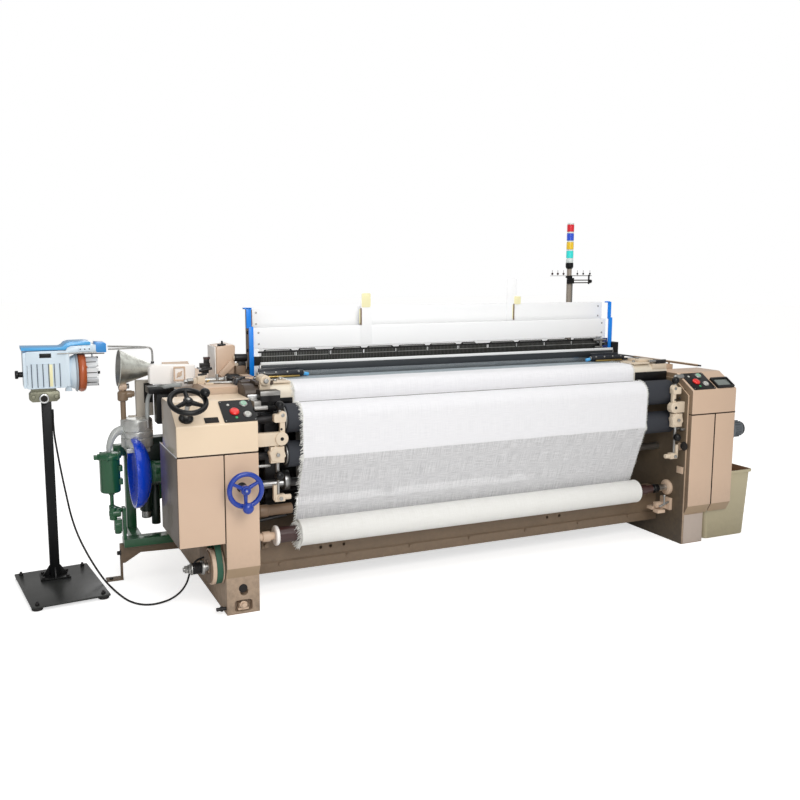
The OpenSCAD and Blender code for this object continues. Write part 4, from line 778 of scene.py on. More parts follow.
# Covers of bent sheet metal
def bent_sheet(name, points, faces, finishes, replaces, bend=7.0, thick=2.5):
    """The outer faces of a folded cover, with rounded bends and the thickness of its sheet.

    finishes are for the front, for the side that looks along -x, and for what looks down; the side and
    downward finishes hold painted shade, and the left front cover's side also a painted dark reflection."""
    middle = Vector([sum(p[i] for p in points) / len(points) for i in range(3)])
    turned, looks = [], []
    for face in faces:
        corner = [Vector(points[i]) for i in face]
        normal = (corner[1] - corner[0]).cross(corner[2] - corner[1]).normalized()
        away = sum(corner, Vector()) / len(corner) - middle
        if normal.dot(away) < 0:
            face, normal = tuple(reversed(face)), -normal
        turned.append(face)
        # Faces that look along -x or down take the darker finishes, which are painted shade.
        looks.append(1 if normal.x < -0.9 else 2 if normal.z < -0.4 else 0)
    form = Form()
    for face, look in zip(turned, looks):
        form.paint = look
        form.solid([points[i] for i in face], [tuple(range(len(face)))])
    cover = form.shape(name, finishes, tidy=False)
    bend_edges = cover.modifiers.new("Bends", "BEVEL")
    bend_edges.width = bend / 1000
    bend_edges.segments = 4
    bend_edges.limit_method = "ANGLE"
    bend_edges.angle_limit = math.radians(20)
    wall = cover.modifiers.new("Sheet", "SOLIDIFY")
    wall.thickness = thick / 1000
    wall.offset = -1
    settle(cover)
    smooth_by_angle(cover, 25)
    return claim(cover, replaces=replaces)


def make_leg_cover(name, x0, x1, node, side):
    points = [(x, y, z) for x in (x0, x1) for y, z in ((COVER_FRONT, 237), (COVER_FRONT, COVER_SEAM),
        (-0.4, COVER_SEAM), (-0.4, 183))]
    bent_sheet(name, points, [(0, 1, 5, 4), (1, 2, 6, 5), (3, 0, 4, 7), (0, 1, 2, 3), (4, 5, 6, 7)],
               [TAN, side, BEND_SHADE], [node])


def make_panel_cap(name, x0, x1, node, side):
    rim = (COVER_FRONT, 794), (COVER_FRONT, PANEL_Z), (115, 1024), (300, 1024), (300, 794)
    points = [(x, y, z) for x in (x0, x1) for y, z in rim]
    # The left cap's front takes the lighter tan, which is painted light; the right cap keeps the plain tan.
    bent_sheet(name, points, [(0, 1, 6, 5), (1, 2, 7, 6), (2, 3, 8, 7), (0, 1, 2, 3, 4), (5, 6, 7, 8, 9)],
               [TAN_PAINTED_LIGHT if x0 < 0 else TAN, side, BEND_SHADE], [node])


def make_covers():
    make_leg_cover("left_leg_sheet", -1471, -1306.5, "left_leg_cover", SIDE_SHADE)
    make_leg_cover("right_leg_sheet", 1314, 1493, "right_leg_cover", SIDE_SHADE)
    make_leg_cover("right_outer_sheet", 1497, 1651, "right_outer_cover", SIDE_SHADE)
    make_panel_cap("left_cap_sheet", *LEFT_CAP, "left_panel_cap", CAP_SIDE)
    make_panel_cap("right_cap_sheet", *RIGHT_CAP, "right_panel_cap", SIDE_SHADE)
    points = [(x, y, z) for x in (LEFT_CAP[0], -1475) for y in (COVER_FRONT, 380) for z in (366, COVER_SEAM)]
    bent_sheet("left_front_sheet", points, [(0, 1, 5, 4), (0, 1, 3, 2), (1, 3, 7, 5)], [TAN, SIDE_GLOSS, TAN],
               ["left_front_cover"])
    # Thin dark strips in the gaps between the covers are painted shade; the white strip along the left cap's
    # side seam is a painted highlight.
    seam_shade = Form()
    for x0, x1 in ((-1688, -1308), (1315, 1650)):
        seam_shade.boxes((x0, -29.4, 786, x1, -26, 795), (x0 + 0.6, -27, 786, x0 + 4, 290, 795))
    (seam_shade.boxes((-1476, -29.4, 368, -1470, -26, 790), (1492, -29.4, 240, 1498, -26, 790))
     .use(1).block((-1690.6, -28, 790), (-1688.8, 376, 794.5)).piece("cover_seam_shade_and_highlight", [SEAM_SHADE, WHITE_BAR]))
    (Form().plate(round_box(74, 46, 3), on_panel(-1557, 6, 0.2), ALONG_X, PANEL_UP, 1.6)
     .use(1).plate(round_box(66, 38, 2), on_panel(-1553, 10, 1.9), ALONG_X, PANEL_UP, 1.2)
     .piece("counter_window", [TAN_PAINTED_LIGHT, DEEP_HOLE], bevel=0.6))
    (Form().turned(on_panel(-1633, 50, 0.4), PANEL_NORMAL, [(12, 0), (33, 0), (34, 3), (33, 9), (29, 11),
        (22, 5), (12, 4)]).piece("black_cup_of_the_wheel", BLACK_PLASTIC))
    inner = Form()
    for x in (-1466.5, 1305.6):
        inner.turned((x + 0.4, 70, 880), TO_LEFT, [(0, 0), (8, 0), (8, 1.5), (0, 2.2)], 20)
    inner.piece("inner_side_screws", PLAIN_STEEL)
    rivets = Form()
    for x, y, z in [(1313.6, 40, 930), (1313.6, 90, 820)]:
        rivets.turned((x, y, z), TO_LEFT, stud(6, 1.2, 3, 2.4), 16)
    rivets.piece("right_cap_screws", DARK_STEEL)


BUTTON_PLATES = ((-1463, 157), (1328, 166))  # each plate's left side and its width
BUTTON_SPOTS = {"stop": (60, 74), "start": (116, 128), "inch": (118, 52)}


def make_control_plates():
    plate = Form()
    for x, w in BUTTON_PLATES:
        plate.use(0).plate(round_box(w, 152, 8), on_panel(x, 6, 0.3), ALONG_X, PANEL_UP, 4.2).use(1)
        for u, v in BUTTON_SPOTS.values():
            plate.turned(on_panel(x + u, v, 4.6), PANEL_NORMAL, [(8, 0), (20.5, 0), (20.5, 1.5), (18.5, 4.2),
                (15.5, 4.8), (8, 4.6)], 40)
        for u, v in ((9, 15), (w - 9, 15), (9, 149), (w - 9, 149)):
            plate.turned(on_panel(x + u, v, 4.6), PANEL_NORMAL, [(0, 0), (3.2, 0), (2.4, 1.2), (0, 1.4)], 12)
        (plate.use(2).turned(on_panel(x + 40, 124, 4.6), PANEL_NORMAL,
                             [(0, 0), (7, 0), (7, 2.5), (5, 4.5), (0, 5)], 24)
         .use(3).turned(on_panel(x + 62, 34, 4.6), PANEL_NORMAL, [(0, 0), (7, 0), (7, 2.0), (5, 3.4), (0, 4)],
                        24))
    plate.piece("button_plates", [BLACK_PLASTIC, PLAIN_STEEL, WHITE_CAP, GREEN_LENS],
                replaces=["control_plates"], bevel=0.5)


def make_buttons():
    looks = {"stop": (23, RED_CAP), "start": (15, GREEN_CAP), "inch": (15, WHITE_CAP)}
    for side, (x, _) in zip(("left", "right"), BUTTON_PLATES):
        for kind, (radius, finish) in looks.items():
            node = f"{side}_{kind}_button"
            u, v = BUTTON_SPOTS[kind]
            foot = on_panel(x + u, v, -4)
            cap = Form()
            top = 20 if kind == "stop" else 18
            if kind == "stop":
                profile = [(0, 0), (8, 0), (8, 8), (radius - 1.5, 8.4), (radius, 9.6), (radius, top - 6),
                           (radius - 2.5, top - 2.5), (radius - 7, top - 0.6), (0, top)]
            else:
                profile = [(0, 0), (8, 0), (8, 7), (radius - 1, 7.4), (radius, 8.6), (radius, top - 3),
                           (radius - 1.5, top - 1), (radius - 4, top - 1), (radius - 5, top - 2.5),
                           (0, top - 2.5)]
            cap.turned(foot, PANEL_NORMAL, profile)
            if kind != "stop":
                cap.use(1).turned(on_panel(x + u, v, top - 6.4), PANEL_NORMAL, tube(4.6, 6.2, 0.7), 32)
            cap.piece(node + "_cap", [finish, PLAIN_STEEL], body=node, replaces=[node], smooth=40)


def make_display():
    box = Form()
    start = 1506
    (box.plate(round_box(132, 88, 7), on_panel(start, 8, 0.3), ALONG_X, PANEL_UP, 13,
               holes=[[(p[0] + 12, p[1] + 14) for p in round_box(108, 60, 3)]])
     .plate(round_box(110, 62, 3), on_panel(start + 11, 21, 3), ALONG_X, PANEL_UP, 5)
     .use(1).plate(round_box(98, 50, 2), on_panel(start + 17, 27, 8.1), ALONG_X, PANEL_UP, 0.8)
     .piece("display_case", [BLACK_PLASTIC, LCD_GLASS], replaces=["display_unit"], bevel=1.5,
            slot="black_plastic"))


# Frames, girders and beam
def make_castings():
    dress("left_side_frame", TAN_CAST, bevel=5, segments=3)
    right = dress("right_side_frame", TAN_CAST, bevel=5, segments=3)
    # Faces of the right frame that look along -x take painted shade.
    right.data.materials.append(CAST_SHADE)
    for face in right.data.polygons:
        if face.normal.x < -0.7:
            face.material_index = 1
    (Form().turned((-1387, -0.2, 126), TO_FRONT, [(0, 0), (21, 0), (20, 1.4), (0, 1)], 36)
     .piece("left_leg_hole", DEEP_HOLE, smooth=30))
    (Form().plate(round_box(144, 174, 3), (1317, -0.4, 5), ALONG_X, UP, 3)
     .piece("right_leg_front_plate", LEG_PLATE, bevel=0.8))
    dress("front_girder", BROWN_CAST, bevel=4, segments=3)
    dress("rear_girder", BROWN_CAST, bevel=4)
    beam = dress("breast_beam", BEAM_PAINT, bevel=1.5)
    beam.data.materials.append(OILY_END)
    cut = Vector(at(-1224, 0, 0))
    mesh = bmesh.new()
    mesh.from_mesh(beam.data)
    bmesh.ops.bisect_plane(mesh, geom=mesh.verts[:] + mesh.edges[:] + mesh.faces[:], plane_co=cut,
                           plane_no=(1, 0, 0))
    for face in mesh.faces:
        if face.calc_center_median().x < cut.x:
            face.material_index = 1
    mesh.to_mesh(beam.data)
    mesh.free()
    (Form().hexagon((-1386, -1, 44), (-1386, -13, 44), 12).turned((-1386, 5, 44), TO_FRONT, drum(18, 4), 28)
     .block((-1412, 4, 18), (-1360, 30, 26)).use(1).bar((-1464, 22, 30), (-1514, 22, 30), 9)
     .hexagon((-1482, 22, 30), (-1494, 22, 30), 14).piece("foot_bolts", [TAN_SMALL, DARK_STEEL], bevel=1.2))
    row_of(Form().turned((-1130, 229.5, 141), TO_FRONT, stud(10, 3, 8.5, 6), 6), "girder_bolts", BROWN_CAST,
           7, (370, 0, 0))
    (Form().boxes((-1240, 224, 262, -1176, 236, 296), (-1232, 206, 240, -1196, 230, 276))
     .bar((-1214, 206, 258), (-1214, 190, 258), 9).block((1160, 224, 250), (1220, 236, 290))
     .piece("girder_brackets", BROWN_CAST, bevel=2))


# Handwheels
def make_blue_wheel():
    x, y, z = -1391.0, -95.0, 628.0
    wheel = Form().hoop((x, y, z), ALONG_Y, 76, 12)
    for degrees in (30, 150, 270):
        a = math.radians(degrees)
        out = Vector((math.cos(a), 0, math.sin(a)))
        mid = Vector((x, y, z))
        wheel.pipe([mid + out * 14 + ALONG_Y * 3, mid + out * 34 + ALONG_Y * 1.5, mid + out * 54,
                    mid + out * 72], [11, 9.5, 8.2, 8.8], 20)
    (wheel.turned((x, y + 17, z), TO_FRONT, [(12.1, 0), (21, 0), (22.5, 2), (22.5, 30), (20, 34), (15, 34),
        (14, 31), (12.1, 31)]).turned((x, y + 14, z), TO_FRONT, stud(12.2, 36, 10, 38), 32)
     .use(1).turned((x, y - 20, z), TO_FRONT, stud(5, 4, 3.6, 5), 6)
     .turned((x, y + 17, z), (0, 1, 0), drum(12, 138), 32)
     .use(0).turned((x, y - 8, z - 76), TO_FRONT, [(0, 0), (10, 0), (9, 6), (9, 10), (17, 13), (23, 19),
         (26, 28), (25.4, 37), (21, 45), (13, 50), (0, 52)], 40)
     .piece("blue_handwheel", [WHEEL_BLUE, TURNED_STEEL], body="take_up_handwheel",
            replaces=["take_up_handwheel"], smooth=40))
    (Form().turned((x, -30.4, z), TO_FRONT, [(13, 0), (24, 0), (24, 4), (22, 6), (13, 6), (13, 0)], 40)
     .piece("dark_washer_behind_the_wheel", DARK_STEEL))


def make_black_wheel():
    centre = Vector(on_panel(-1633, 50, 105))
    across = PANEL_NORMAL.cross(ALONG_X)
    wheel = Form().hoop(centre, PANEL_NORMAL, 80, 12.5)
    for degrees in (90, 210, 330):
        a = math.radians(degrees)
        out = ALONG_X * math.cos(a) + across * math.sin(a)
        wheel.pipe([centre + out * 14, centre + out * 34, centre + out * 54, centre + out * 76],
                   [13, 11, 9.5, 10.5], 18)
    wheel.turned(centre - PANEL_NORMAL * 13, PANEL_NORMAL, [(0, 0), (20, 0), (22, 2), (22, 22), (18, 27),
        (0, 27)], 40)
    a = math.radians(15)
    knob = centre + (ALONG_X * math.cos(a) + across * math.sin(a)) * 81
    (wheel.bar(knob, knob + PANEL_NORMAL * 49, 5)
     .use(1).turned(centre - PANEL_NORMAL * 124, PANEL_NORMAL, drum(11, 112), 32)
     .use(2).turned(centre + PANEL_NORMAL * 14, PANEL_NORMAL, stud(9, 3, 6, 5), 6)
     .piece("black_handwheel", [BLACK_PLASTIC, PLAIN_STEEL, PLAIN_STEEL], body="top_handwheel",
            replaces=["top_handwheel"], smooth=40))
    (Form().turned(knob + PANEL_NORMAL * 9.4, PANEL_NORMAL, [(5.1, 0), (13, 0), (17, 3), (21, 9), (23, 17),
        (23, 23), (21, 30), (15, 36), (7, 39.6), (5.1, 39.6), (5.1, 0)], 40)
     .piece("black_wheel_knob", BLACK_PLASTIC, body="top_handwheel_knob", replaces=["top_handwheel_knob"]))


# Rollers and cloth
def make_rollers():
    for node, (y, z, r), x0, x1 in (("take_up_roller", TAKE_UP, -1130, 1269),
        ("guide_roller", GUIDE, -1126, 1279)):
        roll = Form()
        n = x1 - x0
        (roll.turned((x0, y, z), ALONG_X, [(r - 12, 0), (r - 3, 0), (r, 3), (r, n - 3), (r - 3, n),
            (r - 12, n), (r - 12, 0)], 96)
         .use(1).turned((x0 - 8, y, z), ALONG_X, [(20, 0), (r - 14, 0), (r - 12, 2), (r - 12, n + 14),
             (r - 14, n + 16), (20, n + 16)], 64).use(2).turned((-1366, y, z), ALONG_X, drum(20, 2732))
         .piece(node + "_covering", [ROLLER_GREY, PLAIN_STEEL, DARK_STEEL], body=node, replaces=[node],
                slot="roller_grey"))
        ring_of(Form().turned((x1 + 8.2, y + r * 0.55, z), ALONG_X, stud(5, 4, 3.5, 5), 6),
                node + "_end_bolts", PLAIN_STEEL, 6, (x1, y, z), body=node)
    y, z, r = ROLL
    (Form().turned((-1168, y, z), ALONG_X, [(0, 0), (37, 0), (40, 3), (40, 2240), (37, 2243), (0, 2243)], 64)
     .turned((1070, y, z), ALONG_X, [(0, 0), (28, 0), (30, 2), (30, 66), (24, 70), (24, 112), (0, 112)])
     .use(1).turned((-1188, y, z), ALONG_X, [(14, 0), (44, 0), (50, 4), (50, 16), (46, 20), (14, 20)])
     .use(2).turned((-1300, y, z), ALONG_X, drum(14, 2502), 32)
     .turned((1230, y, z), ALONG_X, drum(19.9, 136), 40)
     .use(3).turned((1196, y, z), ALONG_X, [(14, 0), (24, 0), (27, 4), (27, 30), (24, 34), (14, 34)], 40)
     .use(4).turned((-1366, y, z), ALONG_X, drum(19.9, 180), 40)
     .turned((-1250, y, z), ALONG_X, [(18, 0), (26, 2), (26, 40), (18, 42), (18, 0)], 40)
     .piece("cloth_roller_core", [MAROON_CORE, CREAM_BOX, BRIGHT_STEEL, BLACK_PLASTIC, TAN_SMALL],
            body="cloth_roller", replaces=["cloth_roller"], slot="brown_paint"))


def arc(centre, radius, start, end, steps):
    """Points on a circle in y and z between two angles."""
    return [round_the(*centre[:2], radius, start + (end - start) * i / steps) for i in range(steps + 1)]


def heading(a, b):
    return math.degrees(math.atan2(b[1] - a[1], b[0] - a[0]))


def lean(radii, a, b):
    """The angle between the line from a to b and the radius where a web leaves the roller at a."""
    return math.degrees(math.acos(radii / math.dist(a[:2], b[:2])))


def cloth_line():
    """The cloth's path in y and z from the fell to the roll, as the model's own sheet runs."""
    lie = SHEET_LIE
    nose, nook_r = (238.0, 1028.0), 4.0
    top, low, end = TAKE_UP[2] + lie, GUIDE[2] + lie, ROLL[2] + lie
    nook = (192 - lie - nook_r, TAKE_UP[1] + top - 5)
    nook_end = (nook[0], nook[1] - nook_r)
    meet = heading(TAKE_UP, nook_end) + lean(top, TAKE_UP, nook_end)
    front = heading(TAKE_UP, GUIDE) - lean(top - low, TAKE_UP, GUIDE)
    leave = heading(GUIDE, ROLL) - lean(low + end, GUIDE, ROLL)
    return ([(452, 1076)], arc(nose, 46 + lie, 90, 180, 12), arc(nook, nook_r, 0, -90, 6),
            arc(TAKE_UP, top, meet, 360 + front, 28), arc(GUIDE, low, 360 + front, 360 + leave, 8),
            arc(ROLL, end, 180 + leave, 150 + leave, 5))


def spread(points, step):
    """The same line with a point about every step."""
    out = []
    for a, b in zip(points, points[1:]):
        n = max(1, round(math.dist(a, b) / step))
        out += [(a[0] + (b[0] - a[0]) * i / n, a[1] + (b[1] - a[1]) * i / n) for i in range(n)]
    return out + [points[-1]]


def lengths_along(line):
    """How far along a line in millimetres each of its points lies, in metres."""
    lengths = [0.0]
    for a, b in zip(line, line[1:]):
        lengths.append(lengths[-1] + math.dist(a, b) / 1000)
    return lengths


def make_web(name, line, width, columns, finish_at, finishes, node, free=lambda s: 0.0, ragged=0.0):
    """A thin sheet along a line. free says how far it may ripple, ragged how uneven its edges are."""
    sheet = bmesh.new()
    uv = sheet.loops.layers.uv.new("Cloth")
    lengths = lengths_along(line)
    rows = []
    for i, (y, z) in enumerate(line):
        a, b = line[max(i - 1, 0)], line[min(i + 1, len(line) - 1)]
        along = Vector((0, b[0] - a[0], b[1] - a[1])).normalized()
        normal = ALONG_X.cross(along)
        row = []
        for k in range(columns + 1):
            x = (k / columns - 0.5) * width
            if ragged and k in (0, columns):
                x += ragged * noise.noise(Vector((k * 7.1, lengths[i] * 26, 1.7)))
            ripple = free(lengths[i])
            ripple *= noise.noise(Vector((x * 0.011, lengths[i] * 3.2, 0.4)))
            p = Vector((x, y, z)) + normal * ripple
            row.append((sheet.verts.new(at(*p)), (x / 1000, lengths[i])))
        rows.append(row)
    for i, (low, high) in enumerate(zip(rows, rows[1:])):
        for k in range(columns):
            corners = [low[k], low[k + 1], high[k + 1], high[k]]
            face = sheet.faces.new([c[0] for c in corners])
            face.material_index = finish_at(i, lengths[i])
            for loop, corner in zip(face.loops, corners):
                loop[uv].uv = corner[1]
    data = bpy.data.meshes.new(name)
    sheet.to_mesh(data)
    sheet.free()
    thing = new_object(name, data, *finishes)
    data.polygons.foreach_set("use_smooth", [True] * len(data.polygons))
    return claim(thing, body_of[node], [node]), lengths[-1]


def make_fringe(name, spots, finish, length, lean, seed, body="frame", thickness=0.7):
    """Loose yarn ends on a list of points in loom millimetres."""
    data = bpy.data.meshes.new(name)
    data.from_pydata([at(*p) for p in spots], [], [])
    thing = new_object(name, data, finish)
    repeat(thing, FRINGE, Length=length / 1000, Thickness=thickness / 1000, Lean=lean, Seed=seed,
           Finish=finish)
    return claim(thing, body)


def make_cloth():
    """The web from the reed to the cloth roll, with its uneven edges."""
    free_below, fold_shade_reach = 722, 7
    parts = cloth_line()
    line = spread([point for part in parts for point in part], 14)
    free_from = min(s for s, (y, z) in zip(lengths_along(line), line) if z < free_below)
    nook_y, nook_z = parts[2][3]

    # Finish 3 is painted shade on the web under the reed, finish 2 painted shade in the fold below the beam's
    # nose.
    def finish_at(row, length):
        y, z = line[row]
        if length < SHADED_LENGTH:
            return 3
        if math.hypot(y - nook_y, z - nook_z) < fold_shade_reach:
            return 2
        return 1 if length > free_from else 0
    fringe = []
    for side in (-1, 1):
        for i, (y, z) in enumerate(line):
            for k in range(5):
                t = noise.noise(Vector((i * 3.1, k * 1.7, side)))
                fringe.append((side * (CLOTH_W / 2 - 3 + 3 * t), y - 1.5, z - 0.4 + 3 * (k - 2)))
    cloth, length = make_web("cloth_web", line, CLOTH_W, 132, finish_at,
        [CLOTH, CLOTH_THIN, CLOTH_FOLD_SHADE, CLOTH_SHADE], "cloth_sheet",
        free=lambda s: 2.6 if s > free_from else 0.7, ragged=4.0)
    ends = [make_fringe("cloth_edge_yarns_" + hand(side), [p for p in fringe if p[0] * side > 0], YARN_WHITE,
                        26 if side < 0 else 10, (side * 1.0, -0.25, -0.2), 3 + side,
                        thickness=1.0) for side in (-1, 1)]


def make_warp():
    """The warp yarns from the heald frames over the back rest to the warp beam."""
    start, rest, beam = (700.0, 1076.0), (1420.0, 985.0), (1270.0, 470.0)
    rest_r, beam_r = 55, 250
    turn = 90 + heading(start, (rest[0], rest[1] + rest_r + SHEET_LIE))
    down = heading(rest, beam) + lean(rest_r - beam_r, rest, beam)
    line = [start, *arc(rest, rest_r + SHEET_LIE, turn, down, 12),
            round_the(*beam, beam_r + SHEET_LIE, down)]
    yarns, length = make_web("warp_yarn_web", spread(line, 60), CLOTH_W, 60, lambda i, s: 0, [WARP_YARN],
                             "warp_sheet")


def make_cloth_roll():
    """The wound cloth: turns that end unevenly, and loose yarn ends at both sides."""
    y, z, r = ROLL
    half = CLOTH_W / 2
    profile = [(40.1, 0)]
    for i in range(10):
        radius = 42 + i * 2.7
        profile += [(radius, -2.5 * math.sin(i * 2.3) - i * 0.15),
                    (radius + 1.6, -1.5 * math.sin(i * 1.3) - i * 0.1)]
    rim = [(r - 1.2, 1.5), (r, 5)]
    left = profile + rim
    right = [(a, 2 * half - b) for a, b in reversed(left)]
    wound = (Form().turned((-half, y, z), ALONG_X, left + right + [(40.1, 0)], 72)
             .piece("wound_cloth_roll", CLOTH_ROLL, body="cloth_roller", replaces=["wound_cloth"],
                    slot="woven_cloth", smooth=60))
    flat = wound.data.uv_layers.new(name="Cloth")
    for poly in wound.data.polygons:
        for index in poly.loop_indices:
            p = wound.data.vertices[wound.data.loops[index].vertex_index].co
            turn_here = math.atan2(p.z - z / 1000, p.y - at(0, y, 0).y)
            flat.data[index].uv = (p.x, turn_here * r / 1000)
    spots = []
    for side in (-1, 1):
        for k in range(420):
            a, q = k * 2.399, 44 + 22 * (k * 0.618 % 1)
            spots.append((side * (half - 1 - 14 * (k * 0.377 % 1)), y + q * math.cos(a), z + q * math.sin(a)))
    for side in (-1, 1):
        make_fringe("roll_end_yarns_" + hand(side), [p for p in spots if p[0] * side > 0], YARN_WHITE,
                    46 if side < 0 else 14, (side * 0.9, -0.35, -0.6), 11 + side, body="cloth_roller",
                    thickness=0.9)


# Weaving parts
def make_heald_frame(node, y, z_top, support_x, strip, pad):
    """One frame with its heddles. z_top is the upper bar's lower side, support_x the white support's middle.

    strip is the brown strip's x and its two ends in z, pad the yellow pad's corner, width and height."""
    end = HEALD_HALF
    low = z_top - 345 - 78
    bars = Form()
    for z, h in ((z_top, 112), (low, 78)):
        bars.plate(round_box(24, h, 3), (-end, y, z), ALONG_Y, UP, 2 * end)
    for side in (-1, 1):
        x = side * (end - 13)
        bars.block((x - 12.9, y + 1, low + 6), (x + 12.9, y + 23, z_top + 4))
    (bars.use(1).block((support_x - 33, y - 3.5, z_top + 1), (support_x + 33, y - 0.2, z_top + 262))
     .use(2).block((strip[0], y - 6, strip[1]), (strip[0] + 9, y - 0.4, strip[2]))
     .use(3).block((strip[0] - 5, y - 5, strip[1] + 8), (strip[0], y - 0.4, strip[2] - 6))
     .plate(round_box(pad[2], pad[3], 8), (pad[0], y - 3.6, pad[1]), ALONG_X, UP, 3).use(4))
    for side in (-1, 1):
        for k in (0, 1):
            bars.turned((side * (end - 30), y + 0.4, z_top + 26 + 60 * k), TO_FRONT,
                        [(0, 0), (6, 0), (5.4, 2), (0, 2.6)], 14)
    bars.piece(node + "_bars", [WHITE_BAR, WHITE_BAR, BROWN_SMALL, YELLOWED, PLAIN_STEEL], body=node,
               replaces=[node], bevel=1.0)
    count, gap = 11, 14.0
    width = (2 * end - 88) / count - gap
    group = Form()
    for k in range(count):
        x = -end + 44 + k * (width + gap)
        cut = 16 + 5 * math.sin(k * 2.1 + z_top)
        short = (k * 7 + int(z_top)) % 5 == 1
        outline = [(0, -24), (width, -24), (width, 40), (width - cut, 58), (cut, 58), (0, 40)]
        if short:
            outline = [(0, -24), (width, -24), (width, 40), (width - 8, 44), (width * 0.62, 46),
                       (width * 0.55, 60), (cut, 60), (0, 40)]
        (group.use(0).plate(outline, (x + 2, y + 14, z_top - 64), ALONG_X, UP, 4)
         .use(1).boxes((x + 4, y + 8.4, z_top - 44, x + width - 2, y + 11.4, z_top - 41), (x + cut + 6,
             y + 8.4, z_top - 13, x + width - cut - (60 if short else 4), y + 11.4, z_top - 9)))
    group.use(0).block((-end + 26, y + 10.4, z_top - 89), (end - 26, y + 13.8, z_top - 44))
    for side in (-1, 1):
        group.block((side * (end - 23) - 22, y - 0.6, z_top - 89),
                    (side * (end - 23) + 22, y + 1.2, z_top - 40))
    group.piece(node + "_loops", [HEDDLE_BLACK, HEDDLE_LIGHT], body=node)
    row_of(Form().block((-end + 48, y + 11.6, low + 70), (-end + 49.5, y + 12.4, z_top - 22)),
           node + "_heddle_wires", HEDDLE_WIRE, 365, (6.2, 0, 0), body=node)
    row_of(Form().block((-end + 46, y + 9, z_top - 84), (-end + 49, y + 10.4, z_top - 14)),
           node + "_heddle_tops", HEDDLE_GREY, 250, (9.05, 0, 0), body=node)
    (Form().boxes((-end + 12, y + 9, z_top - 24, end - 12, y + 15, z_top - 14), (-end + 12, y + 9, low + 84,
        end - 12, y + 15, low + 92)).piece(node + "_heddle_rails", DARK_STEEL, body=node, bevel=0.8))


def make_heald_frames():
    make_heald_frame("front_heald_frame", 590, 1214, -497, (-534, 1327, 1421), (-526, 1425, 54, 78))
    make_heald_frame("rear_heald_frame", 634, 1318, 475, (486, 1330, 1428), (492, 1425, 46, 48))


def make_guides():
    guide = Form()

    def slab(x0, x1, y0, y1, z0, z1):
        guide.block((x0, y0, z0), (x1, y1, z1))
    for side, high, low in ((-1, (-1186, -1160), (-1174, -1149.5)), (1, (1152, 1176), (1160, 1186))):
        guide.use(0)
        slab(*high, 574, 582, 1326, 1432)
        slab(*low, 572, 582, 1072, 1334)
        guide.use(1)
        slab(low[0] - 2, low[1], 574, 582, 930, 1058)
        guide.use(2)
        slab(low[0] - 2, low[1] + 6, 571, 583, 1057.5, 1073)
        guide.use(3)
        slab(*sorted((side * 1152, side * 1168)), 582.3, 664, 900, 1424 if side < 0 else 1060)
        slab(*sorted((side * 1168, side * 1306)), 594, 658, 900, 956)
        for z in (1395, 1300, 1205, 1110) if side < 0 else ():
            guide.use(4).turned((side * 1168, 620, z), (side, 0, 0), [(0, 0), (9, 0), (9, 6), (0, 8)], 14)
    guide.piece("blue_heald_guides", [GUIDE_BLUE, DEEP_BLUE, WHITE_BAR, BROWN_SMALL, DARK_STEEL],
                replaces=["heald_guides"], bevel=1.4)
    (Form().boxes((-1196, 574, 1426, -1156, 612, 1434), (1128, 562, 1428, 1158, 583, 1436))
     .piece("guide_top_tabs", GUIDE_BLUE, bevel=1))
    (Form().block((1180, 560, 1080), (1230, 630, 1178)).use(1).bar((1050, 576, 1196), (1140, 576, 1196), 8)
     .bar((1060, 576, 1150), (1136, 576, 1150), 6).block((1096, 570, 1140), (1110, 582, 1204))
     .use(2).boxes((1116, 570, 1130, 1152, 584, 1160), (1120, 570, 1182, 1150, 584, 1206))
     .piece("right_guide_clasp", [BLACK_PLASTIC, PLAIN_STEEL, DEEP_BLUE], bevel=2))


def make_reed_and_sley():
    reed = Form()
    half = REED_HALF
    (reed.plate(round_box(16, 15, 3), (-half, 492, 1136), ALONG_Y, UP, 2 * half)
     .use(1).block((-half, 494, 1100), (half, 507, 1136)).use(2).block((-half, 495, 1052), (half, 505, 1062)))
    for side in (-1, 1):
        reed.block((side * half - 6, 494, 1052), (side * half + 6, 506, 1138))
    reed.piece("reed_rims", [REED_WHITE, REED_BAND, PLAIN_STEEL], body="sley", replaces=["reed"], bevel=0.8)
    (Form().block((-half + 6, 499.4, 1062), (half - 6, 500.6, 1100))
     .piece("reed_backing_yarns", REED_GREY, body="sley"))
    row_of(Form().block((-half + 10, 497.6, 1060), (-half + 11.6, 499.2, 1102)), "reed_wires", BRIGHT_STEEL,
           560, (4.03, 0, 0), body="sley")
    dress("sley", DARK_STEEL, bevel=2.5)
    row_of(Form().turned((-1100, 478.4, 1005), TO_FRONT, stud(11, 5, 9, 8), 6), "sley_bolts", PLAIN_STEEL, 12,
           (200, 0, 0), body="sley")


